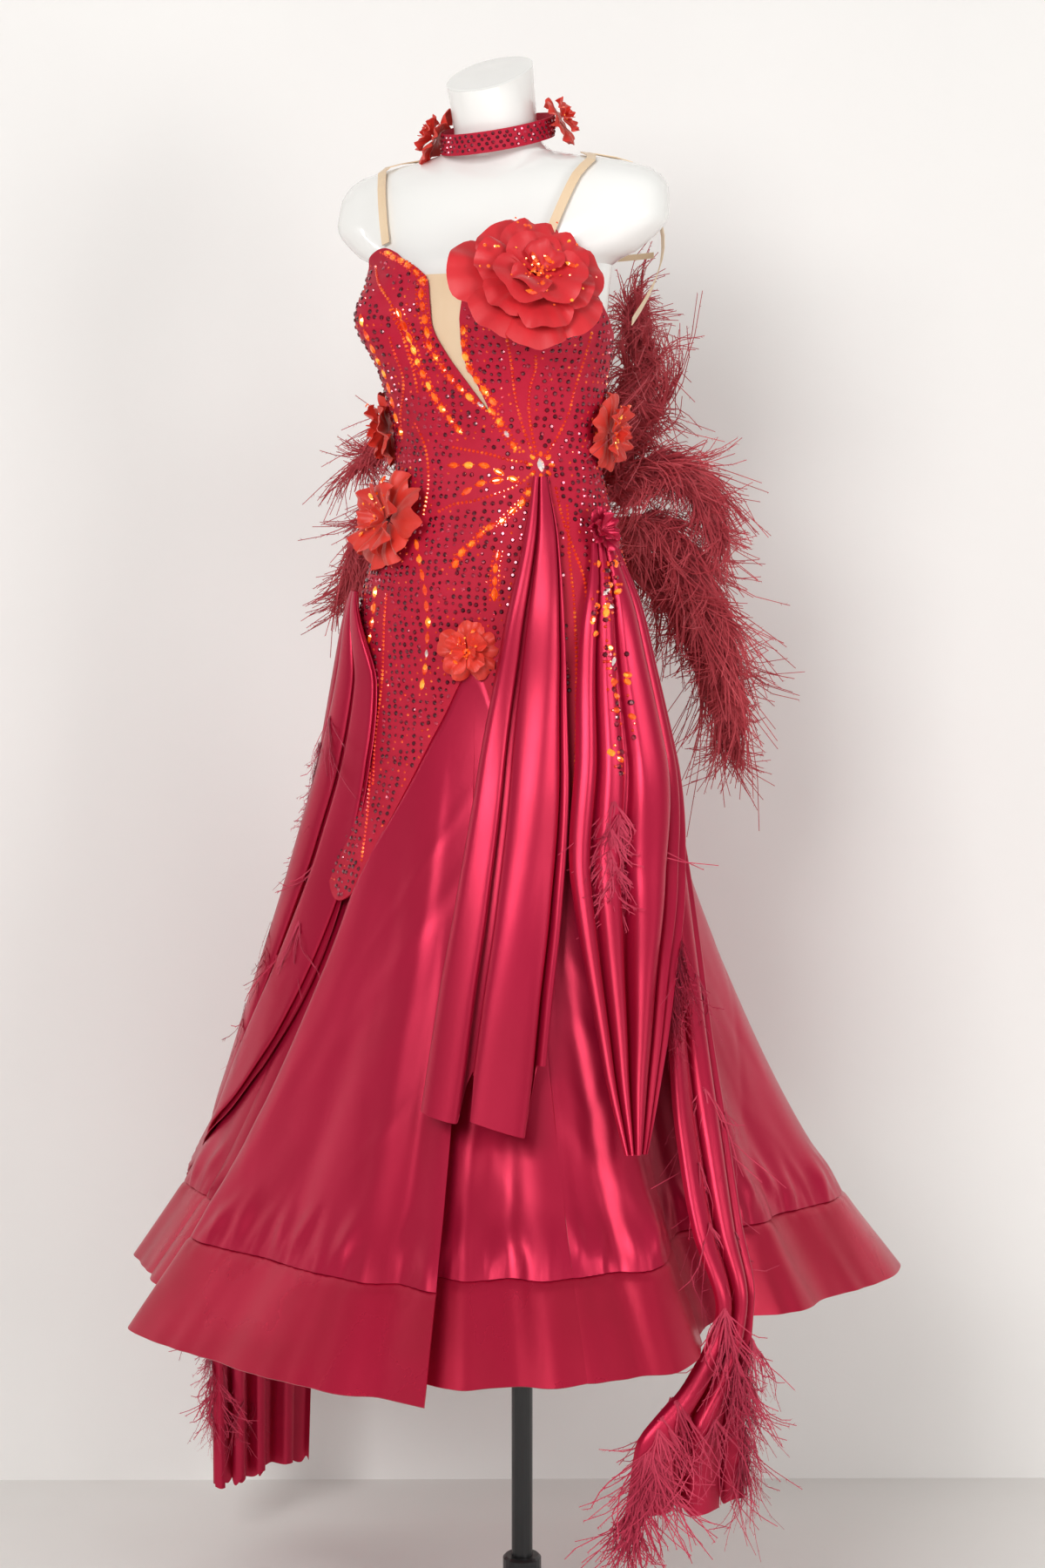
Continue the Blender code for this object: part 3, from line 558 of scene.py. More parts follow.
# ---------------------------------------------------------------- the skirt
# creases of the skirt: turn at the top, turn at the hem, where they start, half width in
# degrees, depth at the hem (ridges out, troughs in), how much one side is steeper
CREASES = (
    (-7, 6, 1.12, 6.0, 0.014, 0.5), (5, 12, 0.95, 2.6, -0.012, -0.3),
    (-25, -22, 1.02, 7.0, 0.006, 0.2), (-16, -13, 0.90, 5.0, -0.008, 0.2),
    (-37, -32, 1.12, 4.0, 0.020, -0.5), (-50, -45.5, 1.10, 8.0, -0.085, 0.0),
    (-66, -70, 0.98, 4.5, 0.012, 0.4), (-75, -75, 0.90, 4.0, -0.010, 0.2),
    (-87, -86, 1.00, 6.0, 0.014, 0.4), (-100, -98, 0.86, 5.0, -0.013, 0.1),
    (-111, -110, 0.98, 6.0, 0.014, -0.4), (-124, -123, 0.88, 5.0, -0.013, 0.2),
    (-138, -138, 0.98, 6.0, 0.013, 0.4), (-153, -152, 0.88, 5.0, -0.014, 0.1),
    (-166, -166, 1.00, 6.0, 0.014, -0.4), (-179, -180, 0.86, 4.6, -0.012, 0.2),
    (165, 164, 0.98, 6.0, 0.013, 0.3), (150, 151, 0.88, 5.0, -0.013, 0.1),
    (136, 136, 1.00, 6.0, 0.014, 0.4), (122, 122, 0.86, 5.0, -0.013, 0.0),
    (108, 109, 1.00, 6.5, 0.015, -0.3), (92, 94, 0.90, 5.0, -0.012, 0.1),
    (82, 84, 1.00, 5.0, 0.014, 0.4), (71, 73, 0.94, 4.0, -0.014, 0.2),
    (64, 65, 0.92, 3.0, -0.010, 0.2), (52, 55, 1.04, 3.6, 0.013, 0.5),
    (44, 46, 0.95, 2.6, -0.013, 0.1), (37, 38, 1.00, 3.4, 0.013, 0.4),
    (24, 29, 0.86, 3.4, -0.020, 0.2), (17, 20.5, 1.00, 3.8, 0.015, 0.4),
)
SPLIT = 17.0  # creases on either side of the front opening keep to their own gore
BAND_STIFF = 0.35  # share of a crease's depth that the stiff band takes away
GORE_ROWS = 76
BAND_ROWS = 12
GORE_OUT = 0.0057
BAND_OUT = 0.0066
GORE_THICK = 0.0011
BAND_THICK = 0.0020
RUMPLES = 34  # on each gore
TUCKED_UNDER = 0.006  # the gores run this far under the sheath
TUCKED_IN = 0.0022  # and step this far in there
SEAM_GROOVE = 0.0050
PUCKER = 0.0006
BAG_REACH = 0.0062  # how far the satin bags over its seam with the band, where, and how tall
BAG_ABOVE = 0.030
BAG_TALL = 0.020
NIP = 0.0012


def rumples(seed, count, right, left, low, high):
    """Small slanting wrinkles: turn, height, half length, half width, slant, depth."""
    rng = np.random.default_rng(seed)
    return np.stack([
        rng.uniform(right, left, count), low + (high - low) * rng.random(count) ** 1.8,
        rng.uniform(0.05, 0.20, count), rng.uniform(0.006, 0.018, count), rng.normal(0.15, 0.45, count),
        rng.uniform(0.0003, 0.0008, count) * rng.choice([-1.0, 1.0], count),
    ], -1)


def rumpled(turn, height, wide, table):
    """How far the wrinkles lift the cloth; wide is metres per degree of turn."""
    found = np.zeros(np.broadcast(turn, height).shape)
    for middle, level, half, narrow, slant, depth in table:
        across = (turn - middle) * wide
        down = height - level
        run = down * np.cos(slant) - across * np.sin(slant)
        off = down * np.sin(slant) + across * np.cos(slant)
        found += depth * np.exp(-((run / half) ** 2) - (off / narrow) ** 2)
    return found


def gore_turns(gore, u, height, v):
    """Turns across a gore: straight under the sheath, then between the gore's two seams."""
    top_right, top_left = gore_edges(gore, np.array(APEX))
    right, left = gore_edges(gore, height)
    below = right + (left - right) * u
    turn = top_right + (top_left - top_right) * u
    return turn + (below - turn) * np.minimum(1.0, 4 * v)


def gore_edges(gore, height):
    """Turns of a gore's two seams at each height."""
    right, left = HEMS[gore][0][0], HEMS[gore][-1][0]
    down = np.clip((APEX - height) / (APEX - HEM), 0, 1)
    beside = FRONT_SPLIT[0] + (FRONT_SPLIT[1] - FRONT_SPLIT[0]) * down
    if gore == "front_right":
        left = beside
    if gore == "front_left":
        tucked = np.clip((TUCK_TOP - height) / (TUCK_TOP - HEM), 0, 1)
        right = beside + (TUCK - FRONT_SPLIT[1]) * tucked**0.8
    return right, left


def skirt_radius(gore, turn, height):
    """Distance out of the skirt's cloth: the body, its flare to the hem, and the creases."""
    reach, _ = smooth(HEMS[gore], turn)
    drop = np.maximum(FLARE_TOP - height, 0.0) / (FLARE_TOP - HEM)
    flare = reach - body_radius(turn, np.full_like(turn, HEM))
    radius = body_radius(turn, height) + flare * drop**FLARE_POWER
    down = np.clip((APEX - height) / (APEX - HEM), 0, 1)
    for top, low, start, wide, depth, skew in CREASES:
        if (gore == "front_right" and low > SPLIT) or (gore == "front_left" and low < SPLIT):
            continue
        off = (turn - top - (low - top) * down + 180) % 360 - 180
        grow = np.clip((start - height) / (start - HEM), 0, 1) ** 1.15
        grow = grow * (1 - BAND_STIFF * np.clip((HEM + BAND_DEEP - height) / BAND_DEEP, 0, 1))
        radius = radius + depth * grow * hill(off / wide, skew)
    return radius


def make_gore(gore, columns):
    """One gore from under the sheath to the band's seam, and the stiff band below it."""
    u = np.linspace(0, 1, columns)[None, :]
    v = np.linspace(0, 1, GORE_ROWS)[:, None]
    top_right, top_left = gore_edges(gore, np.array(APEX))
    top = sheath_low(top_right + (top_left - top_right) * u)
    right, left = gore_edges(gore, np.array(HEM))
    seam = smooth(HEMS[gore], right + (left - right) * u)[1] + BAND_DEEP
    height = top + TUCKED_UNDER + (seam - TUCKED_UNDER - top) * v
    turn = gore_turns(gore, u, height, v)
    under = np.clip((height - top) / TUCKED_UNDER + 1, 0, 1)
    radius = skirt_radius(gore, turn, height) + GORE_OUT - TUCKED_IN * under
    wide = np.radians(1) * radius
    table = rumples(len(gore) * 7, RUMPLES, HEMS[gore][0][0], HEMS[gore][-1][0], HEM + 0.10, 1.10)
    still = np.clip((top - height) / 0.05, 0, 1)
    radius = radius + still * rumpled(turn, height, wide, table) + blouse(gore, turn, height - seam)
    points = polar(turn, radius, height)[::-1]
    piece = cloth(gore + "_satin", points, GORE_THICK, SATIN, (gore + "_gore",))

    v = np.linspace(0, 1, BAND_ROWS)[:, None] ** 1.3
    height = seam - 0.0003 - (BAND_DEEP - 0.0003) * v
    turn = gore_turns(gore, u, height, v + 1)
    pucker = PUCKER * np.sin(turn * 9.0 + 2 * np.sin(turn * 1.7)) * np.exp(-((v / 0.12) ** 2))
    ripple = PUCKER * np.sin(turn * 1.15 + 1.3 * np.sin(turn * 0.31)) * v**1.5
    radius = skirt_radius(gore, turn, height) + BAND_OUT - SEAM_GROOVE * np.exp(-((v / 0.030) ** 2))
    points = polar(turn, radius + pucker + ripple + 0.002 * v**2, height)[::-1]
    piece = cloth(gore + "_band", points, BAND_THICK, HEM_SATIN, (gore + "_hem_band",))


def blouse(gore, turn, above):
    """The satin bags a little where it is set on the stiff band."""
    first, last = HEMS[gore][0][0], HEMS[gore][-1][0]
    calm = np.clip(np.minimum(turn - first, last - turn) / 2.0, 0, 1)
    uneven = 0.6 + 0.4 * np.sin(turn * 0.47 + 1.1) + 0.25 * np.sin(turn * 1.31)
    bag = BAG_REACH * np.exp(-(((above - BAG_ABOVE - 0.008 * np.sin(turn * 0.7)) / BAG_TALL) ** 2))
    nip = NIP * np.exp(-((above / 0.007) ** 2))
    puckers = 0.0008 * np.sin(turn * 3.9 + 2.0 * np.sin(turn * 0.9))
    puckers = puckers * np.exp(-((above - 0.008) / 0.014) ** 2)
    return calm * (bag * uneven + puckers) - nip * (above < 0.02)


COLUMNS_A_DEGREE = 1.4


def make_skirt():
    for gore, hem in HEMS.items():
        make_gore(gore, int(round((hem[-1][0] - hem[0][0]) * COLUMNS_A_DEGREE)) + 8)


# ---------------------------------------------------------------- drapes and floats
# height, right turn, left turn, distance out, depth of the folds
CENTRE_DRAPE = (
    (1.436, 47.0, 55.0, 0.012, 0.003),
    (1.360, 40.0, 57.0, 0.015, 0.006),
    (1.250, 29.5, 56.5, 0.018, 0.009),
    (1.100, 17.0, 53.0, 0.023, 0.012),
    (0.950, 11.8, 44.5, 0.033, 0.014),
    (0.850, 10.5, 38.6, 0.045, 0.015),
    (0.718, 11.0, 33.0, 0.068, 0.014),
)
HIP_DRAPE = (
    (1.360, 72.0, 87.0, 0.015, 0.004),
    (1.260, 62.0, 94.0, 0.021, 0.008),
    (1.120, 55.0, 96.0, 0.031, 0.012),
    (0.980, 47.5, 82.0, 0.040, 0.014),
    (0.880, 47.0, 69.0, 0.050, 0.013),
    (0.790, 47.0, 60.0, 0.056, 0.010),
    (0.695, 48.0, 52.0, 0.058, 0.005),
)
# height, right turn, left turn, distance out from the body's middle, depth of the folds
LEFT_FLOAT = (
    (1.130, 96.0, 110.0, 0.194, 0.003),
    (1.000, 80.0, 99.0, 0.228, 0.005),
    (0.900, 72.0, 90.0, 0.257, 0.007),
    (0.800, 67.0, 82.0, 0.292, 0.009),
    (0.700, 62.5, 76.5, 0.334, 0.010),
    (0.600, 61.0, 72.5, 0.376, 0.010),
    (0.520, 62.0, 70.0, 0.410, 0.009),
    (0.445, 56.0, 68.5, 0.412, 0.012),
    (0.380, 47.5, 67.5, 0.412, 0.014),
    (0.300, 46.0, 67.5, 0.412, 0.016),
)
# the same, with the distance out from the body's surface
RIGHT_FLOAT = (
    (1.300, -84.0, -66.0, 0.019, 0.003), (1.200, -100.0, -50.0, 0.028, 0.008),
    (1.090, -108.0, -46.0, 0.036, 0.010), (0.990, -114.0, -46.5, 0.040, 0.011),
    (0.890, -118.0, -50.0, 0.040, 0.012), (0.790, -121.0, -54.0, 0.040, 0.013),
    (0.690, -124.0, -62.0, 0.042, 0.012), (0.590, -126.0, -76.0, 0.046, 0.012),
    (0.500, -126.0, -95.0, 0.050, 0.010), (0.420, -123.0, -99.0, 0.020, 0.011),
    (0.250, -121.0, -101.0, 0.016, 0.015), (0.090, -120.0, -101.0, 0.014, 0.015),
)

# sections of the gathered sheets, from their right edge: share of the width, height in folds.
# A share that goes back is a knife fold lying over its neighbour.
CENTRE_PLEATS = (
    (0.00, -0.1), (0.02, 0.5), (0.09, 0.95), (0.20, 1.0), (0.30, 0.75), (0.335, 0.25), (0.30, -0.3),
    (0.32, -0.6), (0.40, -0.6), (0.455, -0.3), (0.42, 0.2), (0.41, 0.7), (0.47, 1.05), (0.58, 1.15),
    (0.72, 1.1), (0.84, 0.85), (0.895, 0.35), (0.87, -0.2), (0.86, -0.5), (0.91, -0.4), (0.925, 0.1),
    (0.95, 0.4), (0.99, 0.25), (1.00, -0.2),
)
HIP_PLEATS = (
    (0.00, -0.2), (0.02, 0.4), (0.08, 0.7), (0.14, 0.4), (0.155, -0.1), (0.14, -0.5), (0.19, -0.5),
    (0.205, 0.1), (0.24, 0.7), (0.31, 0.8), (0.37, 0.35), (0.385, -0.3), (0.39, -0.6), (0.44, -0.5),
    (0.45, 0.2), (0.48, 0.9), (0.57, 1.25), (0.66, 1.1), (0.725, 0.5), (0.735, -0.1), (0.71, -0.4),
    (0.77, -0.4), (0.80, 0.2), (0.86, 0.55), (0.895, 0.2), (0.90, -0.2), (0.94, 0.1), (0.98, 0.3),
    (1.00, 0.0),
)
FLOAT_PLEATS = (
    (0.00, -0.1), (0.03, 0.6), (0.13, 1.0), (0.27, 0.8), (0.335, 0.2), (0.31, -0.4), (0.37, -0.6),
    (0.44, -0.4), (0.43, 0.2), (0.47, 0.9), (0.60, 1.2), (0.72, 0.8), (0.755, 0.1), (0.73, -0.5),
    (0.80, -0.5), (0.83, 0.1), (0.90, 0.7), (0.97, 0.4), (1.00, -0.2),
)
RIGHT_FLOAT_PLEATS = (
    (0.00, 0.0), (0.03, 0.7), (0.10, 1.0), (0.18, 0.7), (0.21, 0.0), (0.19, -0.5), (0.25, -0.5),
    (0.29, 0.2), (0.33, 0.9), (0.42, 1.1), (0.49, 0.6), (0.51, -0.1), (0.49, -0.6), (0.55, -0.5),
    (0.57, 0.2), (0.60, 0.8), (0.66, 1.0), (0.72, 0.6), (0.735, -0.1), (0.715, -0.7), (0.76, -0.8),
    (0.80, -0.2), (0.785, 0.4), (0.81, 0.9), (0.88, 1.0), (0.95, 0.7), (0.965, 0.1), (0.945, -0.5),
    (0.98, -0.5), (1.00, 0.0),
)


HUG_OUT = 0.0125
DRAPE_THICK = 0.0009


def drape_points(table, pleats, base, size, foot=None, ragged=0.0, hugs=False):
    """A hanging sheet: its folds widen and deepen as the table's columns say.

    foot says how much shorter the sheet is across its width, ragged how uneven its end is.
    One that hugs lies on the skirt along its left edge.
    """
    u = np.linspace(0, 1, size[0])[None, :]
    v = np.linspace(0, 1, size[1])[:, None]
    share, fold = along(pleats, u[0]).T
    top, bottom = table[0][0], table[-1][0]
    low = bottom + (foot(share) if foot else 0.0) + ragged * np.sin(u * 41 + 3 * np.sin(u * 17))
    height = top + (low - top) * v
    right, left, out, deep = smooth(table, height)
    sway = 0.012 * np.sin(v * 6 + share * 7) * np.sin(np.pi * share)
    turn = right + (left - right) * (share + sway)
    change = 1 + 0.16 * np.sin(v * 5 + share * 9) * np.minimum(1, 4 * v)
    lie = base(turn, height) if base else 0.0
    radius = lie + out + deep * change * fold + 0.0005 * np.sin(v * 9 + share * 5)
    if hugs:
        close = np.clip((share - 0.50) / 0.45, 0, 1) * np.clip((height - 0.47) / 0.08, 0, 1)
        close = close**2 * (3 - 2 * close) * np.clip((1.30 - height) / 0.1, 0, 1)
        behind, before = (skirt_radius(gore, turn, height) for gore in ("side_right", "front_right"))
        under = np.where(turn < HEMS["front_right"][0][0], behind, before)
        radius = radius * (1 - close) + (under + HUG_OUT + 0.5 * deep * fold) * close
    return polar(turn, radius, height)[::-1]


# share of the width, how much shorter the centre drape is there than at its longest fold
CENTRE_TAILS = (
    (0.00, 0.022), (0.33, 0.012), (0.35, 0.06), (0.42, 0.06), (0.44, 0.016), (0.90, 0.0), (0.92, 0.07),
    (1.00, 0.07),
)
# solid, table, pleats, what its distance out is from, columns and rows, what it lies on, its end
DRAPES = (
    ("centre_drape", CENTRE_DRAPE, CENTRE_PLEATS, body_radius, (105, 90), "front_right_satin",
     {"foot": lambda share: np.interp(share, *np.transpose(CENTRE_TAILS))}),
    ("left_hip_drape", HIP_DRAPE, HIP_PLEATS, body_radius, (115, 85), "side_left_satin", {}),
    ("left_float", LEFT_FLOAT, FLOAT_PLEATS, None, (84, 105), "back_left_satin", {"ragged": 0.005}),
    ("right_float", RIGHT_FLOAT, RIGHT_FLOAT_PLEATS, body_radius, (131, 105), "side_right_satin",
     {"ragged": 0.005, "hugs": True}),
)


def make_drapes():
    for name, table, pleats, base, size, rests, end in DRAPES:
        points = drape_points(table, pleats, base, size, **end)
        piece = cloth(name + "_satin", points, DRAPE_THICK, SATIN, (name,))


# ---------------------------------------------------------------- many small copies
def joined(name, points, faces, stuff, replaces=(), smooth_faces=False):
    """One mesh from arrays: points, and faces that all have the same number of corners."""
    mesh = bpy.data.meshes.new(name)
    count, corners = faces.shape
    mesh.vertices.add(len(points))
    mesh.vertices.foreach_set("co", np.ascontiguousarray(points, np.float32).ravel())
    mesh.loops.add(count * corners)
    mesh.loops.foreach_set("vertex_index", np.ascontiguousarray(faces, np.int32).ravel())
    mesh.polygons.add(count)
    mesh.polygons.foreach_set("loop_start", np.arange(0, count * corners, corners, dtype=np.int32))
    mesh.update(calc_edges=True)
    mesh.polygons.foreach_set("use_smooth", np.full(count, smooth_faces))
    mesh.validate()
    piece = bpy.data.objects.new(name, mesh)
    bpy.context.scene.collection.objects.link(piece)
    deselect()
    piece.select_set(True)
    bpy.context.view_layer.objects.active = piece
    return finish_piece(piece, stuff, replaces)


def keep_parts(name, parts, stuff, replaces=(), smooth_faces=False):
    """One piece from many runs of points and faces."""
    points, faces, count = [], [], 0
    for more, corners in parts:
        points.append(more)
        faces.append(corners + count)
        count += len(more)
    return joined(name, np.vstack(points), np.vstack(faces), stuff, replaces, smooth_faces)


def copies(model, origins, across, normals, sizes):
    """A small model's points and faces at every origin, turned to its own directions."""
    shape, faces = model
    along_it = np.cross(normals, across)
    frames = np.stack([across, along_it, normals], axis=1) * sizes[:, None, None]
    points = np.einsum("vk,nkx->nvx", shape, frames) + origins[:, None]
    steps = np.arange(len(origins))[:, None, None] * len(shape)
    return points.reshape(-1, 3), (faces[None] + steps).reshape(-1, faces.shape[1])


def set_stones(name, model, origins, across, normals, sizes, stuff, replaces=()):
    """One piece from many copies of a cut stone."""
    points, faces = copies(model, origins, across, normals, sizes)
    joined(name, points, faces, stuff, replaces)


def facets(vertices, waist, table, tall, long=1.0, point=0.0):
    """A cut stone modelled once: its points and triangles, its back at the origin."""
    deselect()
    bpy.ops.mesh.primitive_cone_add(vertices=vertices, radius1=waist, radius2=table, depth=tall)
    bpy.ops.object.mode_set(mode="EDIT")
    bpy.ops.mesh.select_all(action="SELECT")
    bpy.ops.transform.translate(value=(0, 0, tall / 2))
    bpy.ops.transform.resize(value=(1.0, long, 1.0))
    bpy.ops.mesh.quads_convert_to_tris()
    bpy.ops.object.mode_set(mode="OBJECT")
    stone = bpy.context.object
    shape = np.array([corner.co[:] for corner in stone.data.vertices])
    if point:
        part = np.abs(shape[:, 0]) / np.abs(shape[:, 0]).max()
        shape[:, 0] *= part**point
    faces = np.array([face.vertices[:] for face in stone.data.polygons])
    bpy.data.objects.remove(stone)
    return shape, faces


# ---------------------------------------------------------------- stones
def stone_material(name, dark, bright, flash, metallic, painted_glow):
    """Cut glass: each stone takes its own shade at random between dark and bright; a few take the flash
    colour, a painted glint, and each stone's colour is also painted on as glow.
    """
    made = bpy.data.materials.new(name)
    made.use_nodes = True
    tree = made.node_tree
    shader = tree.nodes["Principled BSDF"]
    shader.inputs["Roughness"].default_value = 0.07
    shader.inputs["Metallic"].default_value = metallic
    shader.inputs["Specular IOR Level"].default_value = 0.9
    shader.inputs["Coat Weight"].default_value = 0.6
    shader.inputs["Coat Roughness"].default_value = 0.03
    # painted glow: the stones give out their own colour as light, standing in for light caught inside the
    # glass
    shader.inputs["Emission Strength"].default_value = painted_glow
    place = node(tree, "ShaderNodeTexCoord")
    cells = node(tree, "ShaderNodeTexVoronoi", [("Vector", place.outputs["Object"]), ("Scale", 110.0)])
    parts = node(tree, "ShaderNodeSeparateColor", [("Color", cells.outputs["Color"])])
    ramp = node(tree, "ShaderNodeValToRGB", [("Fac", parts.outputs["Red"])])
    ramp.color_ramp.elements[0].color = (*dark, 1)
    # the flash colour is a painted glint: the brightest stones take it in place of light caught on their
    # facets
    ramp.color_ramp.elements[1].color = (*flash, 1)
    middle = ramp.color_ramp.elements.new(0.72)
    middle.color = (*bright, 1)
    tree.links.new(ramp.outputs["Color"], shader.inputs["Base Color"])
    # the stone's colour is also the colour of its painted glow
    tree.links.new(ramp.outputs["Color"], shader.inputs["Emission Color"])
    return made


# dark and bright are the stones' own tones; the flash colour is a painted glint, and the last number is
# the strength of the painted glow
CHERRY = stone_material(
    "dark cherry stones", (0.085, 0.003, 0.013), (0.24, 0.006, 0.028), (0.75, 0.05, 0.11), 0.55, 0.0)
BEAD = stone_material(
    "orange beads", (0.60, 0.020, 0.008), (0.85, 0.06, 0.01), (1.0, 0.22, 0.03), 0.3, 0.12)
AMBER = stone_material(
    "amber navettes", (0.70, 0.030, 0.004), (1.0, 0.17, 0.008), (1.0, 0.50, 0.05), 0.35, 0.35)
CLEAR = stone_material(
    "clear crystals", (0.75, 0.60, 0.55), (0.95, 0.88, 0.84), (1.0, 1.0, 1.0), 0.75, 0.25)

# bead lines on the sheath: kind, then turn and height along each
LINES = (
    ("navettes", ((-52, 1.697), (-44, 1.689), (-34, 1.681), (-25, 1.669), (-20, 1.661), (-20, 1.649),
                  (-18, 1.629), (-16, 1.609), (-16, 1.589), (-14, 1.577), (-9, 1.561), (-2, 1.545),
                  (10, 1.525), (24, 1.509), (30, 1.493), (36, 1.473), (42, 1.461))),
    ("navettes", ((9, 1.609), (8, 1.581), (11, 1.557), (20, 1.533), (28, 1.513))),
    ("navettes", ((-30, 1.629), (-26, 1.597), (-25, 1.565), (-22, 1.545), (-17, 1.525), (-9, 1.505),
                  (1, 1.485))),
    ("mixed", ((-12, 1.449), (0, 1.449), (6, 1.449), (16, 1.449), (24, 1.445), (35, 1.433), (42, 1.437))),
    ("mixed", ((1, 1.413), (10, 1.425), (18, 1.429), (34, 1.433))),
    ("navettes", ((-2, 1.329), (4, 1.349), (12, 1.361), (20, 1.377), (27, 1.381), (36, 1.397),
                  (44, 1.413), (48, 1.429))),
    ("navettes", ((28, 1.353), (26, 1.329), (26, 1.313), (26, 1.293))),
    ("mixed", ((-32, 1.365), (-28, 1.349), (-26, 1.333), (-22, 1.313), (-20, 1.293), (-18, 1.265),
               (-19, 1.245), (-20, 1.221), (-23, 1.189))),
    ("mixed", ((-45, 1.625), (-45, 1.593), (-52, 1.561), (-56, 1.533), (-57, 1.505), (-52, 1.481))),
    ("beads", ((-34, 1.597), (-36, 1.573), (-38, 1.549), (-43, 1.529), (-51, 1.505), (-53, 1.481))),
    ("beads", ((-56, 1.681), (-35, 1.641), (-29, 1.609), (-29, 1.573), (-30, 1.533))),
    ("beads", ((47, 1.573), (48, 1.557), (46, 1.533), (46, 1.509), (48, 1.481), (51, 1.457))),
    ("beads", ((76, 1.601), (73, 1.561), (70, 1.533), (68, 1.509), (62, 1.481), (54, 1.456))),
    ("mixed", ((-58, 1.309), (-57, 1.285), (-59, 1.249), (-64, 1.205))),
    ("beads", ((-58, 1.197), (-52, 1.125), (-43, 1.045), (-38, 0.985))),
    ("beads", ((-48, 1.301), (-49, 1.217), (-49, 1.137), (-44, 1.073))),
    ("beads", ((65, 1.405), (63, 1.345), (63, 1.285), (62, 1.205), (59, 1.125), (56, 1.075))),
    ("beads", ((60, 1.425), (62, 1.385), (68, 1.325), (68, 1.285))),
    ("beads", ((33, 1.600), (36, 1.565), (38, 1.530), (42, 1.495), (48, 1.462))),
    ("beads", ((-8, 1.470), (6, 1.466), (20, 1.462), (34, 1.455), (45, 1.452))),
    ("beads", ((-16, 1.395), (-4, 1.404), (10, 1.408), (24, 1.415), (38, 1.425), (48, 1.440))),
    ("beads", ((-38, 1.500), (-30, 1.470), (-26, 1.430), (-27, 1.390))),
    ("beads", ((-110, 1.560), (-112, 1.480), (-108, 1.400), (-102, 1.300), (-98, 1.190))),
    ("beads", ((-140, 1.530), (-144, 1.440), (-140, 1.340), (-136, 1.220))),
    ("beads", ((110, 1.560), (112, 1.480), (108, 1.400), (104, 1.300), (100, 1.190))),
    ("beads", ((140, 1.530), (144, 1.440), (140, 1.340), (136, 1.220))),
    ("mixed", ((180, 1.510), (180, 1.420), (179, 1.330), (180, 1.230))),
)
BROOCH = (52.5, 1.449)  # turn, height

NAVETTE_SIZE = 0.0074
OVAL_SIZE = 0.0064
FLASH_SIZE = 0.0052
BEAD_SIZE = 0.0021
BEAD_PITCH = 0.0050
NAVETTE_PITCH = 0.0150
MIXED_PITCH = 0.0185
BESIDE = 2.6  # degrees from a line of navettes to the beads on each side
STONE_SIZE = 0.0030
STONE_PITCH = 0.0094
ROW_PITCH = 0.0082
SCATTER = 0.0011  # how far a stone sits off its place
LINE_GAP = 0.0062  # dark stones keep this far from a bead line, and from the sheath's edge
EDGE_GAP = 0.0042
DEGREE = 0.0024  # metres on the sheath for a degree of turn


def inside(turns, heights, loop):
    """Which places lie inside a closed outline."""
    found = np.zeros(turns.shape, bool)
    for (a, low), (b, high) in zip(loop, np.roll(loop, -1, axis=0)):
        crosses = (low > heights) != (high > heights)
        at = a + (heights - low) / np.where(high == low, 1e-9, high - low) * (b - a)
        found ^= crosses & (turns < at)
    return found


def near(turns, heights, line):
    """Distance on the body from each place to a line's points, in metres."""
    wide = DEGREE * (turns[:, None] - line[None, :, 0])
    return np.sqrt(wide**2 + (heights[:, None] - line[None, :, 1]) ** 2).min(axis=1)


def line_places(points, pitch):
    """Turn and height at an even pitch along a bead line."""
    flat = along(points, np.linspace(0, 1, 300))
    solid = on_body(flat[:, 0], flat[:, 1])
    steps = np.concatenate([[0], np.cumsum(np.linalg.norm(np.diff(solid, axis=0), axis=1))])
    marks = np.arange(pitch / 2, steps[-1], pitch)
    return np.stack([np.interp(marks, steps, flat[:, k]) for k in (0, 1)], -1)


def line_frames(places, out):
    """Origins, directions along the line, and the ways out, for stones on the body."""
    turn, height = places[:, 0], places[:, 1]
    origins = on_body(turn, height, out)
    normals = outward(turn, height)
    if len(places) > 2:
        runs = unit(np.gradient(origins, axis=0))
    else:
        runs = np.tile([0.0, 0.0, 1.0], (len(places), 1))
    across = unit(np.cross(runs, normals))
    return origins, across, normals


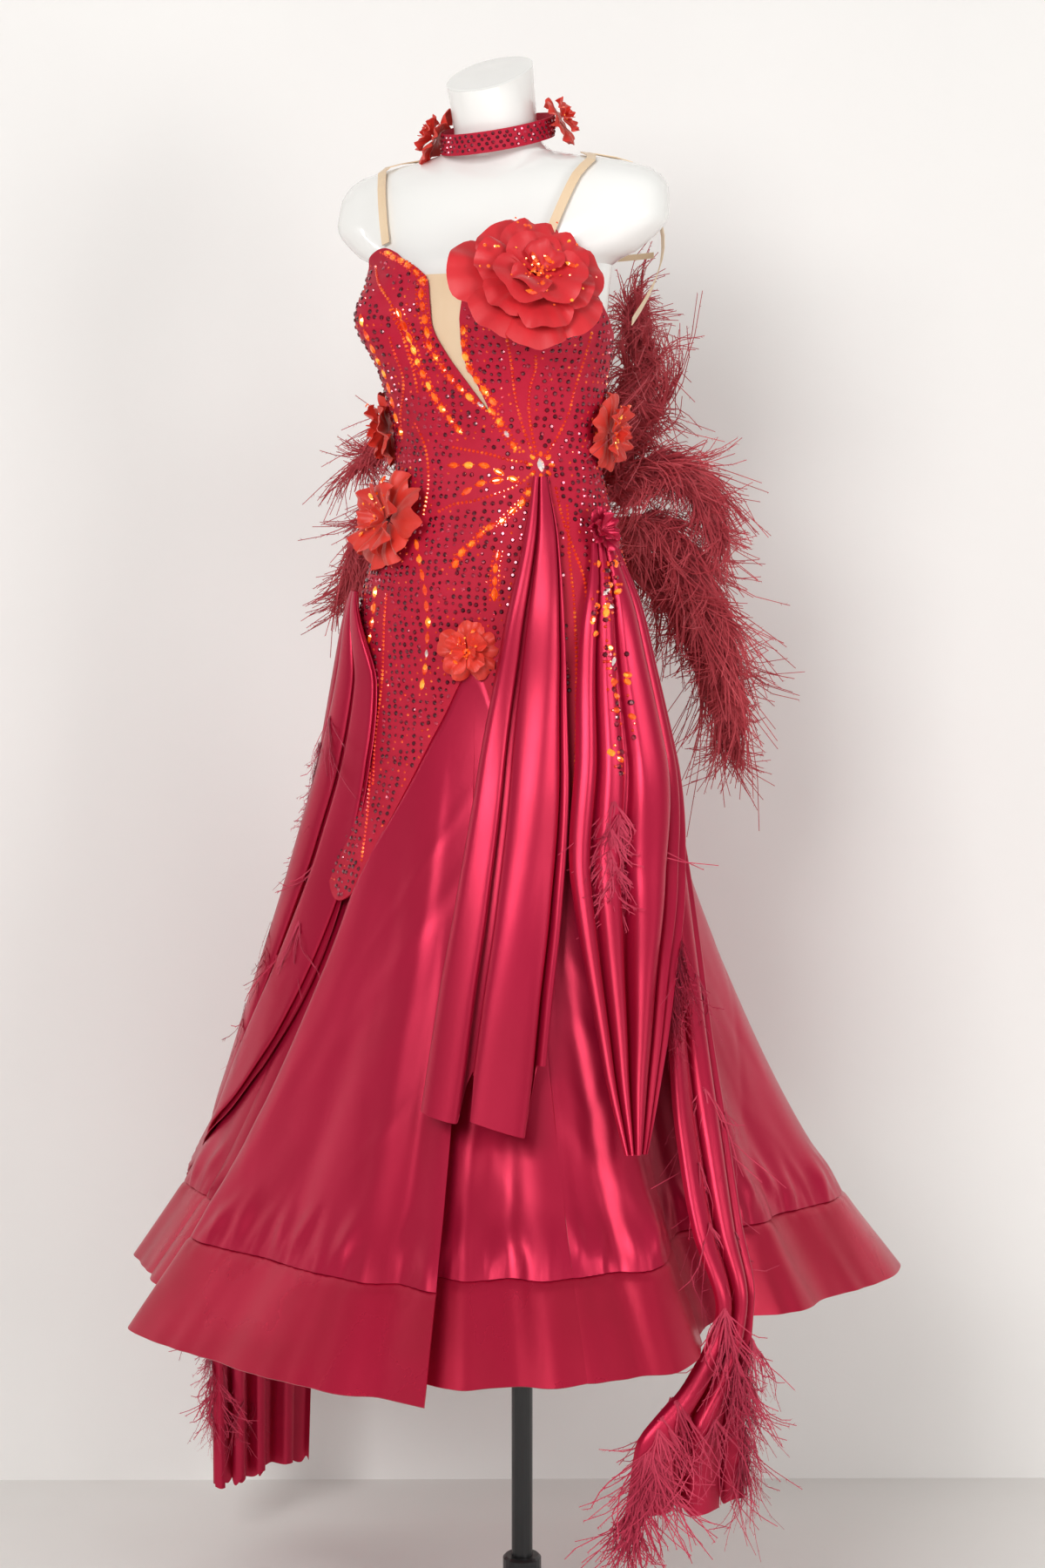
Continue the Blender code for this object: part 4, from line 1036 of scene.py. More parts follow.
def make_stones():
    rng = np.random.default_rng(7)
    # corners, width at the waist and at the flat top, height
    chaton = facets(7, 1.0, 0.55, 0.55)
    bead = facets(6, 1.0, 0.45, 0.9)
    navette = facets(10, 0.48, 0.26, 0.34, long=2.1, point=0.9)
    oval = facets(10, 0.62, 0.34, 0.42, long=1.5)

    parts = {"beads": [], "amber": [], "flashes": []}
    outline = sheath_outline()

    def lay(kind, model, places, size, chosen=None):
        """Stones of one size along a line, where it is on the sheath."""
        origins, across, normals = line_frames(places, SHEATH_OUT)
        kept = inside(places[:, 0], places[:, 1], outline)
        if chosen is not None:
            kept &= chosen
        sizes = size * (1 + 0.08 * rng.standard_normal(kept.sum()))
        if kept.any():
            parts[kind].append(copies(model, origins[kept], across[kept], normals[kept], sizes))

    lines = []
    for kind, points in LINES:
        lines.append(line_places(points, 0.003))
        if kind == "beads":
            lay("beads", bead, line_places(points, BEAD_PITCH), BEAD_SIZE)
            continue
        pitch = NAVETTE_PITCH if kind == "navettes" else MIXED_PITCH
        places = line_places(points, pitch)
        chance = rng.random(len(places))
        lay("amber", navette, places, NAVETTE_SIZE, chance < 0.55)
        lay("amber", oval, places, OVAL_SIZE, (chance >= 0.55) & (chance < 0.93))
        lay("flashes", navette, places, FLASH_SIZE, chance >= 0.93)
        between = line_places(points, pitch / 3)
        lay("beads", bead, between, 0.0017, near(between[:, 0], between[:, 1], places) > 0.0035)
        if kind == "navettes":
            for side in (-BESIDE, BESIDE):
                lay("beads", bead, line_places(points, 0.0056) + np.array([side, 0.0]), 0.0019)
    for kind, stuff in (("beads", BEAD), ("amber", AMBER), ("flashes", CLEAR)):
        keep_parts(kind + "_in_lines", parts[kind], stuff)

    # dark stones all over, in staggered rows that keep off the bead lines
    clear_of = np.vstack(lines + [np.array([BROOCH])])
    places = []
    turns = np.linspace(-180, 180, 1441)
    for row, height in enumerate(np.arange(0.945, 1.70, ROW_PITCH)):
        ring = on_body(turns, np.full_like(turns, height))
        ends = np.concatenate([[0], np.cumsum(np.linalg.norm(np.diff(ring, axis=0), axis=1))])
        marks = np.arange(STONE_PITCH / 2 * (row % 2), ends[-1], STONE_PITCH)
        at = np.interp(marks + rng.normal(0, SCATTER, len(marks)), ends, turns)
        places.append(np.stack([at, height + rng.normal(0, SCATTER, len(marks))], -1))
    places = np.vstack(places)
    places = places[inside(places[:, 0], places[:, 1], outline)]
    places = places[near(places[:, 0], places[:, 1], clear_of) > LINE_GAP]
    edge = near(places[:, 0], places[:, 1], refined(outline, 0.004))
    places = places[edge > EDGE_GAP]
    origins, across, normals = line_frames(places, SHEATH_OUT)
    tilt = 0.10 * rng.standard_normal(normals.shape)
    normals = unit(normals + tilt)
    across = unit(np.cross(np.cross(normals, across), normals))
    sizes = STONE_SIZE * np.where(rng.random(len(places)) < 0.22, 0.72, 1.0)
    red = rng.random(len(places)) < 0.16
    for label, which, stuff in (("dark_stones", ~red, CHERRY), ("red_stones", red, BEAD)):
        share = 1.0 if stuff is CHERRY else 0.62
        set_stones(label, chaton, origins[which], across[which], normals[which],
                   sizes[which] * share, stuff)
    return chaton, bead, navette, oval


NEAR_BACK = 179.9


def refined(loop, step):
    """A closed outline with its points no further than a step of metres apart."""
    found = []
    for a, b in zip(loop, np.roll(loop, -1, axis=0)):
        far = np.hypot(DEGREE * (b[0] - a[0]), b[1] - a[1])
        parts = max(1, int(far / step))
        found.append(a + (b - a) * np.arange(parts)[:, None] / parts)
    return np.vstack(found)


def sheath_outline():
    """The whole sheath's outline in turn and height, opened at centre back."""
    low = np.linspace(-NEAR_BACK, NEAR_BACK, 120)
    bottom = np.stack([low, sheath_low(low)], -1)
    back_top = BACK_TOP[-1][1]
    mirrored = tuple((-turn, height) for turn, height in BACK_TOP[1:-1])
    top = (
        ((NEAR_BACK, back_top),) + BACK_TOP[-2::-1] + LEFT_TOP[-2::-1] + LEFT_PLUNGE[-2::-1]
        + RIGHT_PLUNGE + RIGHT_TOP[-2::-1] + mirrored + ((-NEAR_BACK, back_top),)
    )
    return np.vstack([bottom, np.array(top, float)])


# ---------------------------------------------------------------- flowers
FLOWER = material(
    "flower satin", (0.66, 0.022, 0.030), (0.56, 0.014, 0.022), 26.0, (0.42, 0.55), 0.12, 2600.0,
    Specular_IOR_Level=0.45, Sheen_Weight=0.5, Sheen_Roughness=0.35, Sheen_Tint=(1.0, 0.55, 0.55, 1),
)
FLOWER_BRIGHT = material(
    "orange flower satin", (0.72, 0.045, 0.026), (0.62, 0.028, 0.020), 30.0, (0.40, 0.52), 0.12, 2600.0,
    Specular_IOR_Level=0.45, Sheen_Weight=0.45, Sheen_Roughness=0.35, Sheen_Tint=(1.0, 0.6, 0.5, 1),
)


PETAL_COLUMNS = 19
PETAL_ROWS = 11
PETAL_THICK = 0.0006


def petal(spread, start, reach, rise, curl, ruffle, phase, cleft=0.0):
    """One petal about the flower's axis: a fan with a rounded, ruffled, rolled end."""
    a = np.linspace(-1, 1, PETAL_COLUMNS)[None, :]
    t = np.linspace(0, 1, PETAL_ROWS)[:, None]
    rounded = 1 - 0.34 * np.abs(a) ** 3.2 - cleft * np.exp(-((a / 0.16) ** 2))
    r = start + (reach - start) * t * rounded
    swell = np.radians(spread) * a * (0.55 + 0.45 * np.sin(np.pi * np.minimum(t * 0.62 + 0.1, 0.5)))
    waves = np.sin(a * 6.3 + phase) + 0.6 * np.sin(a * 11.7 + 2.1 * phase)
    z = rise * t**1.4 - curl * t**5 + ruffle * waves * t**2.5 - 0.10 * reach * a**2 * t * (rise > 0)
    z = z + 0.0010 * np.sin(a * 27 + phase) * t * (1 - t)
    return r * np.cos(swell), r * np.sin(swell), z


def blossom(name, middle, axis, rings, stuff, replaces=()):
    """Rings of petals joined in one piece. rings: count, first turn, lift, and what petal takes."""
    up = np.array(axis)
    side = unit(np.cross([0.0, 0.0, 1.0], up))
    other = np.cross(up, side)
    parts = []
    rng = np.random.default_rng(len(name))
    for number, first, lift, shape in rings:
        for k in range(number):
            vary = 1 + 0.06 * rng.standard_normal()
            spread, start, reach, rise, curl, ruffle, *cleft = shape
            x, y, z = petal(spread, start, reach * vary, rise * vary, curl, ruffle,
                            rng.uniform(0, 6.28), *cleft)
            turn = np.radians(first + 360 * k / number + 4 * rng.standard_normal())
            tilt = 0.05 * (k % 2) - 0.02
            px = x * np.cos(turn) - y * np.sin(turn)
            py = x * np.sin(turn) + y * np.cos(turn)
            pz = z + lift + 0.0008 * (k % 3) + tilt * y * 0.5
            points = np.array(middle) + px[..., None] * side + py[..., None] * other + pz[..., None] * up
            rows, columns = px.shape
            index = np.arange(rows * columns).reshape(rows, columns)
            corners = np.stack([index[:-1, :-1], index[1:, :-1], index[1:, 1:], index[:-1, 1:]], -1)
            parts.append((points.reshape(-1, 3), corners.reshape(-1, 4)))
    piece = keep_parts(name, parts, stuff, replaces, smooth_faces=True)
    apply(piece, "SOLIDIFY", thickness=PETAL_THICK, offset=0.0)
    bpy.ops.object.shade_smooth_by_angle(angle=np.radians(60))
    return side, other, up


def big_rings(r):
    return (
        (7, 10.0, 0.000, (38, 0.10 * r, 1.04 * r, 0.06 * r, 0.10 * r, 0.040 * r)),
        (6, 36.0, 0.007, (38, 0.10 * r, 0.84 * r, 0.17 * r, 0.09 * r, 0.048 * r)),
        (3, 95.0, 0.012, (62, 0.06 * r, 0.64 * r, 0.30 * r, 0.10 * r, 0.036 * r, 0.10)),
        (2, 60.0, 0.013, (64, 0.05 * r, 0.44 * r, 0.34 * r, 0.12 * r, 0.050 * r, 0.12)),
    )


def small_rings(r):
    return (
        (5, 15.0, 0.000, (38, 0.08 * r, 1.06 * r, 0.16 * r, 0.18 * r, 0.085 * r, 0.07)),
        (4, 50.0, 0.005, (42, 0.08 * r, 0.76 * r, 0.40 * r, 0.14 * r, 0.090 * r, 0.06)),
        (2, 5.0, 0.008, (50, 0.05 * r, 0.40 * r, 0.46 * r, 0.10 * r, 0.070 * r)),
    )


# name, turn, height, turn that it faces, radius, distance out
FLOWERS = (
    ("bust_flower", 44.5, 1.655, 40.0, 0.082, 0.018),
    ("hip_flower", -49.0, 1.385, -34.0, 0.062, 0.016),
    ("right_side_flower", -80.0, 1.492, -72.0, 0.045, 0.015),
    ("left_waist_flower", 100.0, 1.487, 96.0, 0.046, 0.015),
    ("front_flower", 10.5, 1.236, 14.0, 0.035, 0.012),
)
CHOKER_FLOWERS = (("choker_flower_right", -72.0, 0.033), ("choker_flower_left", 104.0, 0.031))
CHOKER_SIDE = 0.0645  # half width and half depth of the choker's inner face
CHOKER_DEPTH = 0.0630
CHOKER_TALL = 0.024
CHOKER_WALL = 0.002
CHOKER_MIDDLE = (0.0, BODY_Y - 0.013, 1.8350)
CHOKER_TILT = (0.05, 0.27)  # rise to the wearer's left, and to the back
CHOKER_STONE = 0.0024
SEED_WIDE = 0.09  # radius of a flower whose seeds aren't scaled
BIG_SEEDS = 5


def choker_points(turn, up, out):
    """Points on the choker: turn, height above its middle, distance out from its inner face."""
    turn, up = np.broadcast_arrays(np.asarray(turn, float), np.asarray(up, float))
    x = (CHOKER_SIDE + out) * np.sin(np.radians(turn))
    y = -(CHOKER_DEPTH + out) * np.cos(np.radians(turn))
    rise = CHOKER_TILT[0] * x + CHOKER_TILT[1] * y
    return np.array(CHOKER_MIDDLE) + np.stack([x, y, rise + up], -1)


def seeds(name, middle, side, other, up, radius, lift, count, models):
    """Stones at a flower's heart, thinning outwards over its petals."""
    chaton, _, navette, _ = models
    rng = np.random.default_rng(count)
    far = radius * (0.05 + 0.80 * rng.random(count) ** 1.9)
    angle = rng.uniform(0, 2 * np.pi, count)
    high = lift * (0.55 + 0.35 * np.clip(far / radius, 0, 1)) + 0.002
    origins = (
        np.array(middle) + (far * np.cos(angle))[:, None] * side + (far * np.sin(angle))[:, None] * other
        + high[:, None] * up
    )
    normals = unit(up + 0.35 * rng.standard_normal((count, 3)))
    across = unit(np.cross(normals, rng.standard_normal((count, 3))))
    sizes = np.where(rng.random(count) < 0.3, 0.0024, 0.0016) * (radius / SEED_WIDE) ** 0.35
    large = np.full(BIG_SEEDS, 0.0075 * (radius / SEED_WIDE) ** 0.6)
    big = slice(0, BIG_SEEDS)
    keep_parts(name + "_stones", [
        copies(chaton, origins, across, normals, sizes),
        copies(navette, origins[big] + 0.002 * up, across[big], normals[big], large),
    ], AMBER)


def make_flowers(models):
    for name, turn, height, faces, radius, out in FLOWERS:
        slope = outward(turn, height)[2]
        axis = unit(np.array([np.sin(np.radians(faces)), -np.cos(np.radians(faces)), slope]))
        big = name == "bust_flower"
        rings = big_rings(radius) if big else small_rings(radius)
        middle = on_body(turn, height, out)
        stuff = FLOWER if big else FLOWER_BRIGHT
        lift, count = (0.034, 90) if big else (0.4 * radius, 40)
        frame_of = blossom(name + "_petals", middle, axis, rings, stuff, (name,))
        seeds(name, middle, *frame_of, radius, lift, count, models)
    for name, turn, radius in CHOKER_FLOWERS:
        axis = unit(np.array([np.sin(np.radians(turn)), -np.cos(np.radians(turn)), 0.55]))
        middle = choker_points(turn, 0.006, CHOKER_WALL + 0.006)
        frame_of = blossom(name + "_petals", middle, axis, small_rings(radius), FLOWER_BRIGHT, (name,))
        seeds(name, middle, *frame_of, radius, 0.4 * radius, 22, models)


def make_choker(models):
    turn = np.linspace(-179.4, 179.4, 160)[None, :]
    up = np.linspace(-0.5, 0.5, 7)[:, None] * CHOKER_TALL
    edge = 0.0006 * (np.abs(np.linspace(-1, 1, 7)[:, None]) > 0.9)
    points = choker_points(turn, up, CHOKER_WALL + edge)
    piece = cloth("choker_cloth", points, SHEATH_THICK, BEADED, ("choker_band",))
    rng = np.random.default_rng(3)
    turns, ups = [], []
    for row in (-0.33, -0.11, 0.11, 0.33):
        marks = np.arange(-178, 178, 7.4) + 3.7 * (row in (-0.33, 0.11))
        turns.append(marks + rng.normal(0, 0.6, len(marks)))
        ups.append(np.full(len(marks), row * CHOKER_TALL) + rng.normal(0, 0.0004, len(marks)))
    turns, ups = np.concatenate(turns), np.concatenate(ups)
    origins = choker_points(turns, ups, CHOKER_WALL)
    normals = unit(origins - choker_points(turns, ups, 0.0))
    across = unit(np.cross([0.0, 0.0, 1.0], normals))
    sizes = np.full(len(turns), CHOKER_STONE)
    set_stones("choker_stones", models[0], origins, across, normals, sizes, CHERRY)


# stones down the hip drape: turn, distance out from the body, height
CASCADE = (
    (80, 0.022, 1.342), (74, 0.028, 1.310), (69, 0.030, 1.277), (70, 0.034, 1.235), (71, 0.036, 1.194),
    (70, 0.040, 1.150), (68.5, 0.044, 1.100),
)
CASCADE_STONES = 150
KNOT = (77.0, 1.375)  # turn, height of the cloth knot at the drape's head


def make_cascade(models):
    chaton, bead, navette, oval = models
    rng = np.random.default_rng(21)
    spots = np.array(CASCADE)
    t = rng.random(CASCADE_STONES) ** 0.85
    turn, out, height = along(spots, t).T
    spread = 3.4 * (1 - 0.45 * t)
    targets = on_body(turn + spread * rng.standard_normal(CASCADE_STONES), height, out)
    origins, normals = on_sheet(targets, ("left_hip_drape_satin",))
    across = unit(np.cross(normals, rng.standard_normal((CASCADE_STONES, 3))))
    first = 0
    for label, count, model, size, stuff in (
        ("beads", 85, bead, BEAD_SIZE, BEAD), ("dark", 40, chaton, 0.0034, CHERRY),
        ("amber", 22, oval, 0.0056, AMBER), ("flash", 3, navette, 0.0062, CLEAR),
    ):
        part = slice(first, first + count)
        first += count
        set_stones("cascade_" + label, model, origins[part], across[part], normals[part],
                   np.full(count, size), stuff)
    middle = on_body(*KNOT, 0.016)
    loops = (
        (4, 20.0, 0.000, (44, 0.0030, 0.026, 0.016, 0.006, 0.0030)),
        (3, 60.0, 0.004, (50, 0.0020, 0.017, 0.014, 0.004, 0.0026)),
    )
    blossom("hip_knot", middle, outward(*KNOT), loops, SATIN)


def make_brooch(models):
    _, _, navette, oval = models
    middle = on_body(*BROOCH, SHEATH_OUT)
    up = outward(*BROOCH)
    side = unit(np.cross([0.0, 0.0, 1.0], up))
    other = np.cross(up, side)
    lean = side * 0.97 + other * 0.2
    set_stones("brooch_flash", navette, (middle + 0.001 * up)[None], lean[None], up[None],
               np.array([0.0085]), CLEAR, ("brooch",))
    angles = np.radians(np.arange(0, 360, 45))
    spots = middle + 0.013 * (np.cos(angles)[:, None] * side + np.sin(angles)[:, None] * other)
    lean = np.cos(angles + 1.5708)[:, None] * side + np.sin(angles + 1.5708)[:, None] * other
    set_stones("brooch_ring", oval, spots, lean, np.tile(up, (8, 1)), np.full(8, 0.0042), AMBER)


# ---------------------------------------------------------------- feathers
FEATHER = material(
    "ostrich burgundy", (0.520, 0.062, 0.078), (0.340, 0.024, 0.036), 24.0, (0.55, 0.7),
    Sheen_Weight=0.25, Sheen_Roughness=0.4, Sheen_Tint=(1.0, 0.35, 0.40, 1), Specular_IOR_Level=0.3,
)
FEATHER_RED = material(
    "ostrich crimson", (0.560, 0.040, 0.090), (0.400, 0.020, 0.055), 24.0, (0.55, 0.7),
    Sheen_Weight=0.25, Sheen_Roughness=0.4, Sheen_Tint=(1.0, 0.3, 0.45, 1), Specular_IOR_Level=0.3,
)
# name, points along the quill, widest half, half of the down at its root
PLUMES = (
    ("plume_left_1", ((0.052, 0.086, 1.425), (0.084, 0.116, 1.490), (0.106, 0.108, 1.560),
                      (0.100, 0.108, 1.630)), 0.046, 0.074),
    ("plume_left_2", ((0.088, 0.058, 1.405), (0.132, 0.084, 1.445), (0.165, 0.125, 1.435),
                      (0.190, 0.140, 1.380)), 0.036, 0.046),
    ("plume_left_3", ((0.070, 0.088, 1.375), (0.125, 0.125, 1.368), (0.172, 0.155, 1.290),
                      (0.195, 0.170, 1.205)), 0.046, 0.056),
    ("plume_left_4", ((0.060, 0.130, 1.350), (0.112, 0.180, 1.310), (0.155, 0.220, 1.210),
                      (0.172, 0.238, 1.125)), 0.048, 0.048),
    ("plume_right_1", ((-0.085, 0.060, 1.410), (-0.165, 0.072, 1.425),
                       (-0.235, 0.070, 1.380), (-0.272, 0.065, 1.310)), 0.042, 0.042),
    ("plume_right_2", ((-0.060, 0.085, 1.420), (-0.135, 0.105, 1.485),
                       (-0.200, 0.095, 1.500), (-0.250, 0.080, 1.470)), 0.036, 0.038),
)
# points as turn, distance out, height, then the widest half
TUFTS = (
    ("tuft_float_right_1", ((-112, 0.512, 0.420), (-112, 0.520, 0.300), (-113, 0.524, 0.180)), 0.027),
    ("tuft_float_right_2", ((-101, 0.512, 0.360), (-99, 0.520, 0.260), (-98, 0.524, 0.170)), 0.020),
    ("tuft_float_left_1", ((52, 0.438, 0.450), (47, 0.450, 0.360), (42, 0.456, 0.290)), 0.028),
    ("tuft_float_left_2", ((64, 0.440, 0.520), (67, 0.452, 0.430), (69, 0.458, 0.330)), 0.028),
    ("tuft_hip_1", ((62, 0.262, 1.060), (57, 0.276, 1.030), (53, 0.288, 0.985)), 0.017),
    ("tuft_hip_2", ((78, 0.316, 0.900), (77, 0.330, 0.850), (76, 0.342, 0.800)), 0.018),
    ("tuft_side_right", ((-78, 0.240, 1.110), (-80, 0.255, 1.050), (-81, 0.268, 0.985)), 0.018),
)


STRAND_WIDE = 0.00095
HAIR_LONG = (0.0025, 0.0052)
STEPS = 7  # lengths that a strand bends in
LOCK = 22  # barbs that bend together


def strands(origin, start, bend, curl, hook, length, rng, hairs, droop, sway):
    """Curved ribbons from each origin, fringed with fine hairs: points and triangles."""
    n = len(origin)
    s = np.linspace(0, 1, STEPS + 1)[None, :, None]
    line = origin[:, None] + length[:, None, None] * (
        start[:, None] * s + bend[:, None] * s**2 + curl[:, None] * np.sin(4.5 * s) * s
        + hook[:, None] * s**5
    )
    flow = unit(np.gradient(line, axis=1))
    flat = unit(np.cross(flow, sway))
    wide = STRAND_WIDE * (1 - 0.55 * s)
    ribbon = np.stack([line - flat * wide, line + flat * wide], axis=2).reshape(-1, 3)
    base = (np.arange(n)[:, None] * 2 * (STEPS + 1) + np.arange(STEPS)[None, :] * 2).ravel()
    faces = [np.stack([base, base + 1, base + 3], -1), np.stack([base, base + 3, base + 2], -1)]
    at = rng.uniform(0.15, 1.0, (n, hairs))
    cell = np.minimum((at * STEPS).astype(int), STEPS - 1)
    part = (at * STEPS - cell)[..., None]
    rows = np.arange(n)[:, None]
    root = line[rows, cell] * (1 - part) + line[rows, cell + 1] * part
    run = flow[rows, cell]
    side = flat[rows, cell] * np.where(rng.random((n, hairs)) < 0.5, -1.0, 1.0)[..., None]
    long = rng.uniform(*HAIR_LONG, (n, hairs))[..., None]
    away = 0.7 * side + 0.9 * run + 0.30 * rng.standard_normal((n, hairs, 3))
    away = away + np.array([0, 0, -0.5 * droop])
    tip = root + long * unit(away)
    hair = np.stack([root - run * 0.0005, root + run * 0.0005, tip], axis=2).reshape(-1, 3)
    first = len(ribbon) + np.arange(n * hairs) * 3
    faces.append(np.stack([first, first + 1, first + 2], -1))
    return np.vstack([ribbon, hair]), np.vstack(faces)


def barbs(path, half, facing, count, rng, droop, loose, hairs):
    """Curling barbs down both sides of a quill, in small locks that bend together."""
    t = np.repeat(np.linspace(0.03, 1.0, count), 2)
    t = np.clip(t + rng.normal(0, 0.006, 2 * count), 0.01, 1.0)
    sign = np.tile([-1.0, 1.0], count)[:, None]
    n = len(t)
    lock = (np.arange(n) // LOCK) * 2 + np.tile([0, 1], count)
    locks = rng.standard_normal((lock.max() + 1, 7))[lock]
    ahead = unit(along(path, np.minimum(t + 0.02, 1.0)) - along(path, np.maximum(t - 0.02, 0.0)))
    across = unit(np.cross(ahead, facing))
    through = np.cross(across, ahead)
    shape = 0.50 + 0.60 * np.sin(np.pi * (0.12 + 0.76 * t))  # narrow root, full middle, tapered tip
    length = half * shape * rng.uniform(0.7, 1.15, n)
    length = length * (1.15 + 0.16 * locks[:, 0])
    forward = np.radians(30 + 10 * locks[:, 1] + rng.uniform(-7, 7, n) + 32 * t)[:, None]
    start = unit(sign * np.cos(forward) * across + np.sin(forward) * ahead
                 + loose * (locks[:, 2:3] + 0.5 * rng.standard_normal((n, 1))) * through)
    bend = (0.30 * locks[:, 3:4] + 0.20 * rng.standard_normal((n, 1)) + 0.2) * ahead
    bend = bend - 0.35 * sign * across
    bend = bend + loose * rng.standard_normal((n, 1)) * through + np.array([0, 0, -droop])
    curl = rng.normal(0, 0.10, (n, 1)) * ahead + rng.normal(0, 0.12, (n, 1)) * through
    hook = 0.34 * locks[:, 4:7] + rng.normal(0, 0.13, (n, 3)) - 0.30 * start - np.array([0, 0, 0.15])
    return strands(along(path, t), start, bend, curl, hook, length, rng, hairs, droop, through[:, None])


def spray(root, way, long, count, rng, hairs=20):
    """A bunch of loose strands that hangs from one stitch."""
    out = unit(np.array([way[0], way[1], 0.0]))
    side = np.array([-out[1], out[0], 0.0])
    fan = rng.normal(0, 0.36, (count, 1))
    start = unit(fan * side + rng.uniform(0.02, 0.22, (count, 1)) * out + np.array([0, 0, -0.75]))
    bend = rng.normal(0, 0.30, (count, 1)) * side + np.array([0, 0, -0.30])
    curl = rng.normal(0, 0.16, (count, 1)) * side + rng.normal(0, 0.10, (count, 1)) * out
    length = long * rng.uniform(0.45, 1.0, count)
    origin = np.tile(root, (count, 1)) + rng.normal(0, 0.0012, (count, 3))
    hook = rng.normal(0, 0.16, (count, 3)) - 0.15 * start
    return strands(origin, start, bend, curl, hook, length, rng, hairs, 0.4, np.tile(out, (count, 1, 1)))


QUILL_THICK = 0.0016


def quill(path):
    """A tapering shaft along a feather's path."""
    t = np.linspace(0, 1, 24)
    middle = along(path, t)
    ahead = unit(np.gradient(middle, axis=0))
    one = unit(np.cross(ahead, [0.3, 0.9, 0.2]))
    two = np.cross(ahead, one)
    angle = np.linspace(0, 2 * np.pi, 7)[:-1]
    size = (QUILL_THICK * (1 - 0.85 * t))[:, None, None]
    rings = middle[:, None] + size * (
        np.cos(angle)[None, :, None] * one[:, None] + np.sin(angle)[None, :, None] * two[:, None]
    )
    index = np.arange(24 * 6).reshape(24, 6)
    turned = np.roll(index, -1, axis=1)
    a, b, c, d = index[:-1], turned[:-1], turned[1:], index[1:]
    faces = np.vstack([np.stack(corners, -1).reshape(-1, 3) for corners in ((a, b, c), (a, c, d))])
    return rings.reshape(-1, 3), faces


# sprays stitched to the floats and drapes: turn, distance out, height, length, strands
SPRAYS = (
    (-66, 0.232, 1.150, 0.100, 16), (-60, 0.216, 0.985, 0.075, 14), (-75, 0.300, 0.890, 0.090, 16),
    (-66, 0.276, 0.860, 0.080, 16), (-58, 0.245, 0.905, 0.085, 14), (-78, 0.330, 0.780, 0.080, 12),
    (70, 0.345, 0.760, 0.110, 16), (66, 0.372, 0.680, 0.110, 16), (64, 0.395, 0.610, 0.110, 16),
    (76, 0.350, 0.720, 0.090, 14), (70, 0.400, 0.600, 0.090, 14), (74, 0.300, 0.900, 0.095, 18),
    (81, 0.318, 0.880, 0.085, 16), (56, 0.262, 1.055, 0.080, 14), (60, 0.245, 1.075, 0.090, 20),
    (53, 0.412, 0.430, 0.100, 22), (49, 0.412, 0.370, 0.100, 24), (47, 0.412, 0.310, 0.060, 20),
    (66, 0.412, 0.440, 0.100, 22), (67, 0.412, 0.370, 0.090, 22), (60, 0.420, 0.400, 0.090, 20),
    (-104, 0.400, 0.400, 0.095, 22), (-110, 0.400, 0.330, 0.095, 22), (-103, 0.400, 0.260, 0.095, 22),
    (-108, 0.400, 0.200, 0.090, 20),
)


BARB_HAIRS = 13  # fine hairs on each barb of a plume, and on each strand of a tuft
TUFT_HAIRS = 16
TUFT_STITCHES = 8
TUFT_STRANDS = 34
# the sheets that each group of tufts is sewn to
HELD_BY = {
    "tuft_float_right": ("right_float_satin",), "tuft_float_left": ("left_float_satin",),
    "tuft_hip": ("left_hip_drape_satin",), "tuft_side": ("right_float_satin", "side_right_satin"),
}


def make_feathers():
    facing = np.array([0.45, -0.89, 0.0])  # the plumes' flat sides turn to the front left
    rng = np.random.default_rng(11)
    for name, path, half, root_half in PLUMES:
        path = np.array(path)
        parts = [
            barbs(run, wide, facing, count, rng, droop, loose, BARB_HAIRS)
            for run, wide, count, droop, loose in (
                (path, half * 1.30, 290, 0.18, 0.14),
                (path, half * 1.22, 250, 0.34, 0.34),
                (path[:3], root_half, 120, 0.50, 0.80),
            )
        ]
        parts.append(quill(path))
        keep_parts(name + "_barbs", parts, FEATHER, (name,))
    for name, route, half in TUFTS:
        steps = np.linspace(0.0, 0.9, TUFT_STITCHES)
        turn, out, height = along(route, steps).T
        targets = polar(turn + rng.normal(0, 70 * half, TUFT_STITCHES), out, height)
        sheets = next(held for kind, held in HELD_BY.items() if name.startswith(kind))
        stitches = zip(*on_sheet(targets, sheets))
        parts = [spray(root, way, half * 3.0, TUFT_STRANDS, rng, TUFT_HAIRS) for root, way in stitches]
        keep_parts(name + "_strands", parts, FEATHER_RED, (name,))
    spots = np.array(SPRAYS)
    targets = polar(*spots[:, :3].T)
    sheets = ("left_float_satin", "right_float_satin", "left_hip_drape_satin", "side_left_satin")
    parts = [
        spray(root, way, long, int(count), rng)
        for root, way, long, count in zip(*on_sheet(targets, sheets), *spots[:, 3:].T)
    ]
    keep_parts("float_sprays", parts, FEATHER_RED)


# ---------------------------------------------------------------- camera, light, floor
CAMERA_TURN = 27.0
CAMERA_FAR = 3.45
CAMERA_HEIGHT = 1.423
LOOKS_DOWN = 5.861
LOOKS_RIGHT = 0.381
# name, turn, distance, height, side of the soft box, watts
LIGHTS = (
    ("key", 6, 3.8, 2.6, 1.5, 92),
    ("fill", 66, 3.8, 1.7, 1.3, 46),
    ("rim", -80, 3.2, 2.0, 1.0, 22),
    ("back", 205, 3.8, 2.4, 2.0, 30),
)
LIGHTS_AIM = Vector((0, 0, 1.05))
FLOOR_RADIUS = 9.0


def placed(name, data, turn, far, height):
    """A camera or light at a turn and distance from the middle of the floor."""
    made = bpy.data.objects.new(name, data)
    bpy.context.scene.collection.objects.link(made)
    turn = np.radians(turn)
    made.location = (far * np.sin(turn), -far * np.cos(turn), height)
    return made


